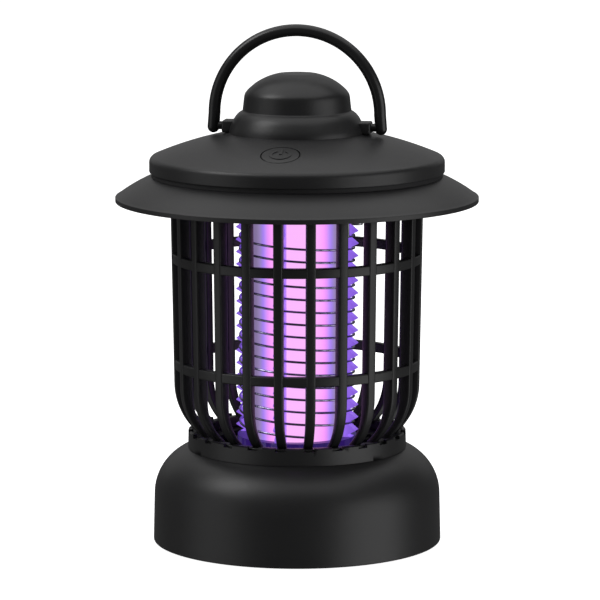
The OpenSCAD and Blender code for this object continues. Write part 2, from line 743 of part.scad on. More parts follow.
module dome_cap() {
    steep = dome_r - 0.6;
    // How far the dome has drawn in from its steep side, against the share of its height
    bell = [[-0.3, 0.18], [0, 0.4], [0.5, 0.49], [1.85, 0.6], [4.35, 0.755], [6.85, 0.86], [9.05, 0.93],
        [11.05, 0.975], [12.5, 1]];
    profile = concat([[dome_r, dome_z]], [for (p = bell) [steep - p[0], dome_z + p[1] * dome_h]]);
    top = dome_z + dome_h;
    color(black) rotate_extrude() polygon(concat(profile, [[0, top], [0, top - cap_wall],
        [steep - 13, top - cap_wall], [steep - 7.8, dome_z + dome_h * 0.71],
        [dome_plug_r - cap_wall, dome_z + dome_h * 0.42], [dome_plug_r - cap_wall, dome_z - dome_plug_h],
        [dome_plug_r, dome_z - dome_plug_h], [dome_plug_r, dome_z]]));
}

// ---------- Handle ----------

module handle() {
    bow_r = leg_x;
    bow_z = pivot_z + bail_rise;
    color("#1c1c1e") union() {
        translate([0, 0, bow_z]) rotate([90, 0, 0]) rotate_extrude(angle = 180) translate([bow_r, 0])
            circle(r = bail_wire_r);
        for (s = [-1, 1]) {
            translate([s * leg_x, 0, bow_z]) sphere(r = bail_wire_r);
            translate([s * leg_x, 0, bow_z]) rotate([0, s * (180 - leg_lean), 0]) {
                cylinder(r = bail_wire_r, h = leg_l);
                translate([0, 0, leg_l]) sphere(r = bail_wire_r);
            }
            translate([s * leg_x, 0, pivot_z]) rotate([0, -90 * s, 0])
                cylinder(r = pin_r, h = leg_x - ear_x + pin_depth);
        }
    }
}

// ---------- Button ----------

module power_button() {
    color("#202022") difference() {
        union() {
            button_rod(button_r, 0, flange_top);
            button_rod(button_r + button_flange, flange_top, flange_low);
            button_rod(plunger_r, flange_low, plunger_top);
        }
        at_button() difference() {
            translate([0, 0, -0.25]) cylinder(r = 3.6, h = 1);
            translate([0, 0, -cut]) cylinder(r = 3, h = 3);
            translate([-1.1, 0, -cut]) cube([2.2, 5, 3]);
        }
        at_button() translate([-0.3, 1.2, -0.25]) cube([0.6, 3, 1]);
    }
}

module button_board() {
    color("#1f5c38") button_rod(sleeve_out, board_top, board_top - board_t);
}

module switch_body() {
    color("#303033") difference() {
        at_button() translate([-switch_w / 2, -switch_w / 2, board_top])
            cube([switch_w, switch_w, switch_h]);
        button_rod(plunger_r + plunger_gap, switch_top + cut, switch_top - 2.2);
    }
}

module switch_plunger() {
    color("#8d1f1f") button_rod(plunger_r, plunger_top, switch_top - 1.2);
}

module button_spring() {
    length = flange_low - board_top - 2 * spring_wire_r - 0.1;
    n = spring_turns * 16;
    path = [for (i = [0:n]) let(a = 360 * spring_turns * i / n)
        [spring_r * cos(a), spring_r * sin(a), board_top + spring_wire_r + 0.05 + length * i / n]];
    color(steel) at_button() sweep(path, spring_wire_r, 6);
}

// ---------- Charging port ----------

module port_cover() {
    color("#18181a") union() {
        intersection() {
            translate([0, 0, port_hinge_z]) cylinder(r = roof_r, h = port_h, $fn = 360);
            translate([-port_w / 2, roof_r - port_cover_t, port_hinge_z]) cube([port_w, 2, port_h]);
        }
        translate([-port_w / 2, port_hinge_y, port_hinge_z]) rotate([0, 90, 0])
            cylinder(r = port_barrel_r, h = port_w);
        translate([-port_w / 2 - port_pin_l, port_hinge_y, port_hinge_z]) rotate([0, 90, 0])
            cylinder(r = port_pin_r, h = port_w + 2 * port_pin_l);
    }
}

module usb_socket() {
    y1 = roof_r - port_cover_t - port_gap - 0.2;
    color(steel) difference() {
        translate([-socket_w / 2, y1 - socket_l, socket_z - socket_h / 2]) cube([socket_w, socket_l, socket_h]);
        difference() {
            translate([-socket_w / 2 + 0.4, y1 - socket_l + 1, socket_z - socket_h / 2 + 0.4])
                cube([socket_w - 0.8, socket_l, socket_h - 0.8]);
            translate([-3.2, y1 - socket_l, socket_z - 0.35]) cube([6.4, socket_l - 1, 0.7]);
        }
    }
}

module charge_board() {
    color("#1f5c38") translate([-6.6, 34, charge_board_z]) cube([13.2, 15, board_t]);
}

// ---------- Battery and high voltage board ----------

module battery_holder() {
    half = cell_l / 2 + holder_gap;
    wide = 2 * cell_r;
    color("#2e2e31") union() {
        translate([-half - holder_wall, cell_y - cell_r, deck_top])
            cube([2 * (half + holder_wall), wide, holder_t]);
        for (s = [-1, 1])
            translate([s * (half + holder_wall / 2) - holder_wall / 2, cell_y - cell_r, deck_top])
                cube([holder_wall, wide, cell_r + 3]);
    }
}

module battery_cell() {
    color("#3f6fb0") translate([0, cell_y, cell_z]) rotate([0, 90, 0]) union() {
        translate([0, 0, -cell_l / 2]) cylinder(r = cell_r, h = cell_l - 1);
        translate([0, 0, cell_l / 2 - 1 - 0.01]) cylinder(r = 3, h = 1.01);
    }
}

// A bent lead from beside the holder's end wall down onto the control board
module battery_lead(s) {
    x1 = cell_l / 2 + holder_gap + holder_wall + lead_r + 0.5;
    from = [s * x1, cell_y + cell_r - 3, cell_z + 1];
    out = [s * (x1 + 2), board_y0 + 1, cell_z + 2];
    over = [s * (board_w / 2 - 3), board_y0 + 3, parts_z + 9];
    end = [s * (board_w / 2 - 3), board_y0 + 3, parts_z + 0.05];
    sweep([for (i = [0:12]) let(t = i / 12, u = 1 - t)
        u * u * u * from + 3 * u * u * t * out + 3 * u * t * t * over + t * t * t * end], lead_r, 8);
}

module battery_leads() {
    color("#a02020") battery_lead(1);
    color("#202020") battery_lead(-1);
}

module control_board() {
    color("#1f5c38") translate([-board_w / 2, board_y0, board_z]) cube([board_w, board_l, board_t]);
}

module hv_transformer() {
    color("#c8b45a") translate([-8, board_y0 + 8, parts_z]) union() {
        translate([-7, -6, 0]) cube([14, 12, 2]);
        translate([0, 0, 1]) cylinder(r = 5, h = 8);
        translate([-7, -6, 8]) cube([14, 12, 2]);
    }
}

module hv_capacitor() {
    color("#8c2f24") translate([3, board_y0 + 5, parts_z]) cube([10, 5, 8.5]);
}

tray_shell();
tray_floor();
foot_pads();
floor_screws();
collar_ring();
collar_screws();
cage();
core_base();
core_screws();
lamp_tube();
led_board();
uv_leds();
grid_post(0);  // grid_post_1
grid_post(1);  // grid_post_2
grid_post(2);  // grid_post_3
grid_post(3);  // grid_post_4
grid_wire_a();
grid_wire_b();
grid_terminals();
core_cap();
cap_screws();
brim_shell();
head_screws();
roof_gasket();
roof_cover();
shoulder_cap();
shoulder_screws();
dome_cap();
battery_holder();
battery_cell();
battery_leads();
control_board();
hv_transformer();
hv_capacitor();
charge_board();
usb_socket();
button_board();
switch_body();
button_spring();
handle();
power_button();
switch_plunger();
port_cover();
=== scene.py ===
"""The looks of a lantern-style bug zapper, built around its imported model.

Lengths are in metres, and places are in the model's own frame.
"""

import json
import math
import bmesh
import bpy
from mathutils import Matrix, Vector

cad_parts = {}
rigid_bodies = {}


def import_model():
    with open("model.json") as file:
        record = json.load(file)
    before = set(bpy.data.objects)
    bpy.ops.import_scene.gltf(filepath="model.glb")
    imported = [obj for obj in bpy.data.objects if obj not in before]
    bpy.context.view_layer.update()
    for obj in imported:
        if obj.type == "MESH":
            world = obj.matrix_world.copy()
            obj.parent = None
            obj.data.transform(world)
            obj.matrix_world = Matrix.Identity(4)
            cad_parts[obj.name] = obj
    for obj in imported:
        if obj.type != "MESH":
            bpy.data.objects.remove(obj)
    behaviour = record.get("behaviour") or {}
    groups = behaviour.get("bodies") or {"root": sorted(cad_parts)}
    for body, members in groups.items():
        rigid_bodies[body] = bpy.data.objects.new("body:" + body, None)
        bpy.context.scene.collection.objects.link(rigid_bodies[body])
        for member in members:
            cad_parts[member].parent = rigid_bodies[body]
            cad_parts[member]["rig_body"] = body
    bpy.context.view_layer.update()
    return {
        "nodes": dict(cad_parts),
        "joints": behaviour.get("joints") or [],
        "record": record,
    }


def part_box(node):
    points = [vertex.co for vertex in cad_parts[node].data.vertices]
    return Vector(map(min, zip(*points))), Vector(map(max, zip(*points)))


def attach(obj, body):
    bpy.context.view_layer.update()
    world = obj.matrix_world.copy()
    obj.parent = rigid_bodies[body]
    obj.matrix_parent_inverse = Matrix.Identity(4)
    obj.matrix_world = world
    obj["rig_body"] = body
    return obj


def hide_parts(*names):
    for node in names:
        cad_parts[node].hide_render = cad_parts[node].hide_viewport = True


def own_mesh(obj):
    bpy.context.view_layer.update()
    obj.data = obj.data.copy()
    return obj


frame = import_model()
NODES = frame["nodes"]
RECORD = frame["record"]
SLOT_OF = {part["node"]: part["material_slot"] for part in RECORD["subparts"]}
JOINTS = {joint["name"]: joint for joint in frame["joints"]}

MM = 0.001
LATHE_STEPS = 192
FULL_TURN = 2 * math.pi
ON_AXIS = 1e-7  # a point nearer the axis than this is on it


def low(node):
    """Height of a node's lowest point."""
    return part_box(node)[0].z


def top(node):
    """Height of a node's highest point."""
    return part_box(node)[1].z


def reach(node):
    """Radius of a round node that is centred on the axis."""
    lowest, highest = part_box(node)
    return min(highest.x - lowest.x, highest.y - lowest.y) / 2


# Levels and radii that several pieces share
TRAY_Z = low("tray_shell")
MOUTH_Z = top("tray_shell")
COLLAR_Z = top("collar_ring")
DECK_Z = top("cage")
SHELF_Z = low("roof_gasket")
RIM_Z = top("roof_gasket")
LAND_Z = low("shoulder_cap")
DOME_Z = top("shoulder_cap")
CORE_BASE_Z = top("core_base")
CORE_CAP_Z = low("core_cap")
PIVOT = Vector(JOINTS["handle_swing"]["pos_m"])
RIBS = 24
POST_TURN = math.radians(-9)


# ---------- Node graphs ----------


class Value:
    """A number on a socket. Arithmetic on values adds the Math nodes that work it out."""

    def __init__(self, graph, socket):
        self.graph = graph
        self.socket = socket

    def math(self, operation, *others, flip=False):
        terms = [*others, self] if flip else [self, *others]
        return self.graph.node("ShaderNodeMath", {"operation": operation}, dict(enumerate(terms)))

    def __add__(self, other):
        return self.math("ADD", other)

    def __radd__(self, other):
        return self.math("ADD", other)

    def __sub__(self, other):
        return self.math("SUBTRACT", other)

    def __rsub__(self, other):
        return self.math("SUBTRACT", other, flip=True)

    def __mul__(self, other):
        return self.math("MULTIPLY", other)

    def __rmul__(self, other):
        return self.math("MULTIPLY", other)

    def __truediv__(self, other):
        return self.math("DIVIDE", other)

    def __abs__(self):
        return self.math("ABSOLUTE")

    def clamp(self):
        return self.graph.node("ShaderNodeClamp", inputs={"Value": self})


class Graph:
    """A node tree, and one way to add any node to it."""

    def __init__(self, tree):
        self.tree = tree

    def node(self, kind, settings=None, inputs=None, output=0):
        made = self.tree.nodes.new(kind)
        for key, value in (settings or {}).items():
            if key == "stops":
                self.set_stops(made.color_ramp, value)
            else:
                setattr(made, key, value)
        for key, value in (inputs or {}).items():
            self.feed(made.inputs[key], value)
        return Value(self, made.outputs[output])

    def feed(self, socket, value):
        if isinstance(value, Value):
            self.tree.links.new(value.socket, socket)
        else:
            socket.default_value = value

    @staticmethod
    def set_stops(ramp, stops):
        while len(ramp.elements) < len(stops):
            ramp.elements.new(1)
        for element, (place, color) in zip(ramp.elements, stops):
            element.position = place
            element.color = (*color, 1)


class Finish(Graph):
    """A material on one Principled shader. Patterns follow the object's own coordinates."""

    def __init__(self, name, **constants):
        self.material = bpy.data.materials.new(name)
        self.material.use_nodes = True
        super().__init__(self.material.node_tree)
        self.shader = self.tree.nodes["Principled BSDF"]
        for key, value in constants.items():
            self.shader.inputs[key.replace("_", " ")].default_value = value
        self.place = self.node("ShaderNodeTexCoord", output="Object")

    def set(self, socket, value):
        self.feed(self.shader.inputs[socket], value)

    def along(self, axis):
        return self.node("ShaderNodeSeparateXYZ", inputs={"Vector": self.place}, output=axis)

    def noise(self, grain, detail=2.0, rough=0.5):
        """Noise whose grains are about `grain` metres across, round 0.5."""
        return self.node("ShaderNodeTexNoise", inputs={"Vector": self.place, "Scale": 1 / grain,
                                                       "Detail": detail, "Roughness": rough})

    def mix(self, factor, first, second):
        """A colour between two others."""
        return self.node("ShaderNodeMix", {"data_type": "RGBA"}, {0: factor, 6: first, 7: second}, output=2)

    def bump(self, height, depth, strength=1.0):
        self.set("Normal", self.node("ShaderNodeBump", inputs={"Height": height, "Distance": depth,
                                                               "Strength": strength}))


def rgb(code):
    """A linear colour from a hex code."""
    parts = [int(code[i:i + 2], 16) / 255 for i in (1, 3, 5)]
    return tuple(c / 12.92 if c <= 0.04045 else ((c + 0.055) / 1.055) ** 2.4 for c in parts)


def rgba(code):
    return (*rgb(code), 1)


# ---------- Materials ----------


def moulded_black(name, dark, light, rough, grain=0.35 * MM, depth=0.02 * MM):
    """Satin black moulded plastic: a fine grain, slight cloudiness and uneven gloss."""
    finish = Finish(name, Specular_IOR_Level=0.5)
    cloud = finish.noise(14 * MM, 3)
    fine = finish.noise(grain, 4, 0.6)
    finish.set("Base Color", finish.mix(cloud * 0.6 + fine * 0.4, rgba(dark), rgba(light)))
    finish.set("Roughness", rough + (fine - 0.5) * 0.16 + (cloud - 0.5) * 0.06)
    finish.bump(fine, depth)
    return finish.material


def lamp_diffuser():
    """The lit tube: a real glow, brightest on the side turned to the camera and on its back, with painted
    shade that fades it through violet to grey towards its sides.
    """
    finish = Finish("lamp_diffuser", Roughness=0.45, Emission_Strength=1.0)
    x = finish.along("X")
    y = finish.along("Y")
    length = (x * x + y * y).math("SQRT")
    # painted shade: the glow is set by the angle from the camera's side, and darkens away from it
    facing = abs((x * math.sin(CAMERA_SIDE_GLOW_TURN) - y * math.cos(CAMERA_SIDE_GLOW_TURN)) / length)
    hazy = (facing + (finish.noise(9 * MM) - 0.5) * 0.02).clamp()
    glow = finish.node("ShaderNodeValToRGB", {"stops": TUBE_GLOW}, {"Fac": hazy})
    finish.set("Emission Color", glow)
    finish.set("Base Color", finish.mix(finish.noise(2 * MM), rgba("#3f3450"), rgba("#4a3d5c")))
    return finish.material


def lit_violet():
    """Clear violet plastic with a painted glow that stands in for the lamp's light it carries: painted
    brighter near the tube, deeper at its tips.
    """
    finish = Finish("lit_violet", Roughness=0.3, Emission_Strength=0.85)
    x = finish.along("X")
    y = finish.along("Y")
    outward = ((x * x + y * y).math("SQRT") - TUBE_R) / (4.5 * MM)
    haze = finish.noise(1.4 * MM, 3)
    depth = (outward * 0.8 + (haze - 0.5) * 0.5).clamp()
    # painted light: the glow fades with distance from the tube
    finish.set("Emission Color", finish.mix(depth, rgba("#9a6cf4"), rgba("#7a4fd0")))
    finish.set("Base Color", finish.mix(haze, rgba("#8d72c4"), rgba("#a68fd6")))
    finish.bump(finish.noise(0.6 * MM), 0.02 * MM)
    return finish.material


def dark_violet():
    finish = Finish("dark_violet", Roughness=0.4, Emission_Strength=0.6)
    haze = finish.noise(1.5 * MM, 3)
    # painted glow: the emission stands in for the lamp's light falling on this plastic; the base colour is
    # its own
    finish.set("Emission Color", finish.mix(haze, rgba("#2a1560"), rgba("#3d2084")))
    finish.set("Base Color", finish.mix(haze, rgba("#22163f"), rgba("#2e1f52")))
    finish.bump(haze, 0.02 * MM)
    return finish.material


def bright_metal(name, color, rough, grain=0.5 * MM):
    """Plated or drawn metal with fine marks along it."""
    finish = Finish(name, Metallic=1.0)
    marks = finish.noise(grain, 4, 0.7)
    finish.set("Base Color", finish.mix(marks, rgba(color), rgba("#8f9298")))
    finish.set("Roughness", rough + (marks - 0.5) * 0.2)
    finish.bump(marks, 0.01 * MM)
    return finish.material


def soft_rubber():
    finish = Finish("soft_rubber")
    dust = finish.noise(0.8 * MM, 5, 0.7)
    finish.set("Base Color", finish.mix(dust, rgba("#121213"), rgba("#232325")))
    finish.set("Roughness", 0.72 + (dust - 0.5) * 0.2)
    finish.bump(dust, 0.03 * MM)
    return finish.material


def circuit_board(name, mask, copper):
    """Solder mask with fine tracks just showing through it."""
    finish = Finish(name, Coat_Weight=0.3)
    x = finish.along("X")
    y = finish.along("Y")
    tracks = ((x / (1.3 * MM)).math("FRACT") - 0.5).math("LESS_THAN", -0.25)
    cross = ((y / (2.1 * MM)).math("FRACT") - 0.5).math("LESS_THAN", -0.3)
    pattern = tracks.math("MAXIMUM", cross)
    seen = pattern * 0.7 + finish.noise(1 * MM) * 0.2
    finish.set("Base Color", finish.mix(seen, rgba(mask), rgba(copper)))
    finish.set("Roughness", 0.34 + finish.noise(0.7 * MM) * 0.1)
    finish.bump(pattern, 0.03 * MM)
    return finish.material


def plain_moulding(name, first, second, rough, grain=0.8 * MM):
    """Small inner parts: two close colours, mottled, with a light surface grain."""
    finish = Finish(name)
    mottle = finish.noise(grain, 4, 0.6)
    finish.set("Base Color", finish.mix(mottle, rgba(first), rgba(second)))
    finish.set("Roughness", rough + (mottle - 0.5) * 0.15)
    finish.bump(mottle, 0.02 * MM)
    return finish.material


TUBE_R = reach("lamp_tube")
# the glow's bright side faces the camera's turn, so its fall to grey at the tube's sides is painted shade
CAMERA_SIDE_GLOW_TURN = math.radians(8.6)
TUBE_GLOW = [(0.0, rgb("#6a5d82")), (0.4, rgb("#73628c")), (0.6, rgb("#83729c")),
             (0.669, rgb("#9480b4")), (0.71, rgb("#9a80d4")), (0.748, rgb("#a780f2")),
             (0.781, rgb("#c590f9")), (0.812, rgb("#e692f9")), (0.851, rgb("#fb9ffb")),
             (0.95, rgb("#fcb9fc"))]

MATERIALS = {
    "black_shell": moulded_black("black_shell", "#19191a", "#1f1f20", 0.42),
    "black_cap": moulded_black("black_cap", "#19191a", "#1f1f20", 0.40),
    "black_handle": moulded_black("black_handle", "#141415", "#1a1a1b", 0.30, depth=0.008 * MM),
    "dark_rubber": soft_rubber(),
    "steel": bright_metal("steel", "#c4c7cc", 0.32),
    # painted reflection: the wire's violet tint stands in for the lamp's glow reflected in the metal
    "grid_wire": bright_metal("grid_wire", "#b3a3dc", 0.22),
    "lamp_diffuser": lamp_diffuser(),
    "grid_post": lit_violet(),
    "violet_plastic": dark_violet(),
    "circuit_board": circuit_board("circuit_board", "#0f4a26", "#2c7a45"),
    "white_board": circuit_board("white_board", "#dcdcd6", "#f2f2ee"),
    "led_lens": plain_moulding("led_lens", "#e9e2f8", "#f7f3fd", 0.2),
    "cell_wrap": plain_moulding("cell_wrap", "#254f8c", "#2d5da2", 0.35),
    "lead_insulation": plain_moulding("lead_insulation", "#7c1a1a", "#932222", 0.45),
    "ferrite": plain_moulding("ferrite", "#8d7a30", "#b39c48", 0.6),
    "capacitor_case": plain_moulding("capacitor_case", "#6d2016", "#7f2a1c", 0.3),
    "switch_case": plain_moulding("switch_case", "#1d1d1f", "#28282b", 0.5),
    "switch_red": plain_moulding("switch_red", "#7c1717", "#8f2020", 0.4),
}


# ---------- Outlines ----------

CORNER_TURN = math.radians(20)  # a line that turns less than this is part of a curve
CORNER_SHARE = 0.48  # most of an edge that one rounded corner may use up


def arc(cx, cz, radius, start, stop, steps=12):
    """Points on an arc, from one angle to another in degrees, counted from the +R direction."""
    angles = [math.radians(start + (stop - start) * i / steps) for i in range(steps + 1)]
    return [(cx + radius * math.cos(a), cz + radius * math.sin(a)) for a in angles]


def eased(outline, radius, steps=5):
    """A closed outline with its sharp corners rounded; corners of a drawn arc are left alone."""
    result = []
    for i, here in enumerate(outline):
        before = Vector(outline[i - 1]) - Vector(here)
        after = Vector(outline[(i + 1) % len(outline)]) - Vector(here)
        turn = math.pi - before.angle(after)
        if turn < CORNER_TURN or here[0] < ON_AXIS:
            result.append(here)
            continue
        longest = min(before.length, after.length) * CORNER_SHARE
        size = min(radius * math.tan(turn / 2), longest)
        first = Vector(here) + before.normalized() * size
        last = Vector(here) + after.normalized() * size
        for k in range(steps + 1):
            t = k / steps
            point = first * (1 - t) ** 2 + Vector(here) * 2 * t * (1 - t) + last * t ** 2
            result.append((point.x, point.y))
    return result


def rounded(outline):
    """An open line with its inner corners softened twice over; its two ends stay where they are."""
    for _ in range(2):
        softer = [outline[0]]
        for first, last in zip(outline, outline[1:]):
            softer += [tuple(Vector(first).lerp(Vector(last), share)) for share in (0.25, 0.75)]
        outline = [*softer, outline[-1]]
    return outline


# ---------- Meshes ----------

MERGE = 1e-6
CAD_MERGE = 2e-6
COLLAPSED = 1e-7
FLAT = math.radians(0.6)
SLAB_BEVEL_FROM = math.radians(25)
CAD_BEVEL_FROM = math.radians(30)


def added(name, data):
    """A new object in the scene."""
    made = bpy.data.objects.new(name, data)
    bpy.context.scene.collection.objects.link(made)
    return made


def new_mesh(name, vertices, faces):
    mesh = bpy.data.meshes.new(name)
    mesh.from_pydata(vertices, [], faces)
    return mesh


def finished(build, name):
    """A mesh from a bmesh that is done with."""
    mesh = bpy.data.meshes.new(name)
    build.to_mesh(mesh)
    build.free()
    return mesh


def shaded(mesh, sharp=35):
    """Smooth shading, but for edges that turn by more than `sharp` degrees."""
    mesh.shade_smooth()
    mesh.set_sharp_from_angle(angle=math.radians(sharp))
    return mesh


def tidy(mesh, sharp=35):
    """Merges doubles, turns the faces outward, and shades smooth but for the sharp edges."""
    build = bmesh.new()
    build.from_mesh(mesh)
    bmesh.ops.remove_doubles(build, verts=build.verts, dist=MERGE)
    bmesh.ops.dissolve_degenerate(build, dist=COLLAPSED, edges=build.edges)
    bmesh.ops.recalc_face_normals(build, faces=build.faces)
    build.to_mesh(mesh)
    build.free()
    return shaded(mesh, sharp)


def lathe(outline, steps=LATHE_STEPS):
    """A closed outline of (radius, height) turned round the axis."""
    vertices = []
    rings = []
    for radius, height in outline:
        if radius < ON_AXIS:
            rings.append([len(vertices)] * steps)
            vertices.append((0, 0, height))
            continue
        rings.append(range(len(vertices), len(vertices) + steps))
        turns = [FULL_TURN * k / steps for k in range(steps)]
        vertices += [(radius * math.sin(turn), -radius * math.cos(turn), height) for turn in turns]
    faces = []
    for i, ring in enumerate(rings):
        following = rings[(i + 1) % len(rings)]
        for k in range(steps):
            n = (k + 1) % steps
            face = list(dict.fromkeys([ring[k], ring[n], following[n], following[k]]))
            if len(face) > 2:
                faces.append(face)
    return tidy(new_mesh("lathe", vertices, faces))


def prism(corners, drawn):
    """A bmesh of a flat face through the corners, drawn out along a vector."""
    build = bmesh.new()
    face = build.faces.new([build.verts.new(corner) for corner in corners])
    sides = bmesh.ops.extrude_face_region(build, geom=[face])["geom"]
    far_side = [v for v in sides if isinstance(v, bmesh.types.BMVert)]
    bmesh.ops.translate(build, verts=far_side, vec=drawn)
    return build


def slab(outline, width, bevel, turn=0.0):
    """An outline of (radius, height) made `width` thick across the direction that it faces."""
    build = prism([(-width / 2, -radius, height) for radius, height in outline], (width, 0, 0))
    bmesh.ops.recalc_face_normals(build, faces=build.faces)
    edges = [e for e in build.edges
             if len(e.link_faces) == 2 and e.calc_face_angle() > SLAB_BEVEL_FROM]
    bmesh.ops.bevel(build, geom=edges, offset=bevel, segments=3, profile=0.5, affect="EDGES",
                    clamp_overlap=True)
    bmesh.ops.rotate(build, verts=build.verts, cent=(0, 0, 0), matrix=Matrix.Rotation(turn, 3, "Z"))
    return tidy(finished(build, "slab"))


def sweep(path, radius, sides=20, round_ends=0):
    """A round rod along a list of points, with ends that are flat, or domed in `round_ends` steps."""
    points = [Vector(p) for p in path]
    ahead = [(points[min(i + 1, len(points) - 1)] - points[max(i - 1, 0)]).normalized()
             for i in range(len(points))]
    across = Vector((0, 1, 0)) if abs(ahead[0].y) < 0.9 else Vector((1, 0, 0))
    pole = round_ends + 0.001  # a little past the last step, so that the end ring stays open
    stations = []
    for i in range(round_ends, 0, -1):
        a = math.pi / 2 * i / pole
        stations.append((points[0] - ahead[0] * radius * math.sin(a), ahead[0], radius * math.cos(a)))
    stations += [(p, t, radius) for p, t in zip(points, ahead)]
    for i in range(1, round_ends + 1):
        a = math.pi / 2 * i / pole
        stations.append((points[-1] + ahead[-1] * radius * math.sin(a), ahead[-1], radius * math.cos(a)))
    vertices = []
    for place, direction, size in stations:
        side = (across - direction * across.dot(direction)).normalized()
        across = side
        up = direction.cross(side)
        vertices += [place + side * size * math.cos(FULL_TURN * k / sides)
                     + up * size * math.sin(FULL_TURN * k / sides) for k in range(sides)]
    faces = []
    for start in range(0, (len(stations) - 1) * sides, sides):
        for k in range(sides):
            n = (k + 1) % sides
            faces.append([start + k, start + n, start + sides + n, start + sides + k])
    faces += [list(range(sides)), [len(vertices) - 1 - k for k in range(sides)]]
    return tidy(new_mesh("rod", vertices, faces), 50)


def block(lowest, highest, bevel, segments=3):
    """A box between two corners with rounded edges."""
    build = bmesh.new()
    bmesh.ops.create_cube(build, size=1)
    size = Vector(highest) - Vector(lowest)
    middle = (Vector(highest) + Vector(lowest)) / 2
    bmesh.ops.scale(build, verts=build.verts, vec=size)
    bmesh.ops.translate(build, verts=build.verts, vec=middle)
    bmesh.ops.bevel(build, geom=build.edges[:], offset=bevel, segments=segments, profile=0.5,
                    affect="EDGES")
    return tidy(finished(build, "block"))


def joined(*meshes):
    """Several closed forms in one mesh."""
    build = bmesh.new()
    for mesh in meshes:
        build.from_mesh(mesh)
    return shaded(finished(build, "joined"))


def placed(mesh, matrix):
    """The same mesh, moved."""
    mesh.transform(matrix)
    return mesh


def cut(mesh, *tools):
    """The mesh with the tools' forms taken out of it."""
    work = added("work", mesh)
    helpers = []
    for tool in tools:
        helper = added("tool", tool)
        taken = work.modifiers.new("cut", "BOOLEAN")
        taken.operation = "DIFFERENCE"
        taken.solver = "EXACT"
        taken.object = helper
        helpers.append(helper)
    result = evaluated(work)
    for spare in [work, *helpers]:
        bpy.data.objects.remove(spare)
    return tidy(result)


def evaluated(source):
    """A plain mesh of an object with its modifiers applied."""
    graph = bpy.context.evaluated_depsgraph_get()
    graph.update()
    return bpy.data.meshes.new_from_object(source.evaluated_get(graph), depsgraph=graph)


def from_cad(node, bevel=0.12 * MM, sharp=28):
    """A node's own shape, merged from loose triangles, with its edges eased."""
    build = bmesh.new()
    build.from_mesh(NODES[node].data)
    bmesh.ops.remove_doubles(build, verts=build.verts, dist=CAD_MERGE)
    bmesh.ops.dissolve_limit(build, angle_limit=FLAT, verts=build.verts, edges=build.edges,
                             delimit={"NORMAL"})
    mesh = finished(build, node)
    mesh.materials.clear()
    if bevel:
        work = added("work", mesh)
        ease = work.modifiers.new("ease", "BEVEL")
        ease.width = bevel
        ease.segments = 2
        ease.limit_method = "ANGLE"
        ease.angle_limit = CAD_BEVEL_FROM
        mesh = evaluated(work)
        bpy.data.objects.remove(work)
    return shaded(mesh, sharp)


def piece(name, mesh, *nodes):
    """A finished piece: it stands for the nodes, rides on their body and takes their slot's material."""
    slot = SLOT_OF[nodes[0]]
    mesh.materials.clear()
    mesh.materials.append(MATERIALS[slot])
    mesh.name = name
    made = added(name, mesh)
    body = NODES[nodes[0]]["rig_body"]
    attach(made, body)
    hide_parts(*nodes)
    return made


# ---------- Geometry Nodes ----------

WIRE_SIDES = 10


def new_tree(name, inputs):
    """A geometry tree with named inputs, and the graph and sockets to build it with."""
    tree = bpy.data.node_groups.new(name, "GeometryNodeTree")
    tree.interface.new_socket("Geometry", in_out="INPUT", socket_type="NodeSocketGeometry")
    for label, kind in inputs.items():
        tree.interface.new_socket(label, in_out="INPUT", socket_type="NodeSocket" + kind)
    tree.interface.new_socket("Geometry", in_out="OUTPUT", socket_type="NodeSocketGeometry")
    graph = Graph(tree)
    source = tree.nodes.new("NodeGroupInput")
    given = {socket.name: Value(graph, socket) for socket in source.outputs if socket.name}
    return graph, given


def close_tree(graph, geometry, material):
    """Ends a tree with real geometry and its material."""
    real = graph.node("GeometryNodeRealizeInstances", inputs={"Geometry": geometry})
    covered = graph.node("GeometryNodeSetMaterial", inputs={"Geometry": real, "Material": material})
    end = graph.tree.nodes.new("NodeGroupOutput")
    graph.feed(end.inputs["Geometry"], covered)
    return graph.tree


def round_repeat_tree():
    """Copies of a form round the axis, one step apart."""
    graph, given = new_tree("round_repeat", {"Count": "Int", "First": "Float", "Step": "Float",
                                             "Material": "Material"})
    points = graph.node("GeometryNodePoints", inputs={"Count": given["Count"]})
    index = graph.node("GeometryNodeInputIndex")
    turn = graph.node("ShaderNodeCombineXYZ", inputs={"Z": given["First"] + index * given["Step"]})
    copies = graph.node("GeometryNodeInstanceOnPoints",
                        inputs={"Points": points, "Instance": given["Geometry"], "Rotation": turn})
    return close_tree(graph, copies, given["Material"])


def helix_tree():
    """A round wire wound on a cylinder, downwards as it goes round from the front to the right."""
    graph, given = new_tree("helix_wire", {"Ring": "Float", "Wire": "Float", "From": "Float", "To": "Float",
                                           "Start_height": "Float", "Lead": "Float", "Steps": "Int",
                                           "Material": "Material"})
    line = graph.node("GeometryNodeCurvePrimitiveLine", inputs={"End": (0, 0, 1)})
    fine = graph.node("GeometryNodeResampleCurve", inputs={"Curve": line, "Count": given["Steps"]})
    along = graph.node("GeometryNodeSplineParameter")
    angle = given["From"] + along * (given["To"] - given["From"])
    fallen = (angle - given["From"]) / FULL_TURN * given["Lead"]
    place = graph.node("ShaderNodeCombineXYZ", inputs={
        "X": angle.math("SINE") * given["Ring"],
        "Y": angle.math("COSINE") * given["Ring"] * -1.0,
        "Z": given["Start_height"] - fallen})
    wound = graph.node("GeometryNodeSetPosition", inputs={"Geometry": fine, "Position": place})
    section = graph.node("GeometryNodeCurvePrimitiveCircle",
                         inputs={"Resolution": WIRE_SIDES, "Radius": given["Wire"]})
    solid = graph.node("GeometryNodeCurveToMesh",
                       inputs={"Curve": wound, "Profile Curve": section, "Fill Caps": True})
    return close_tree(graph, solid, given["Material"])


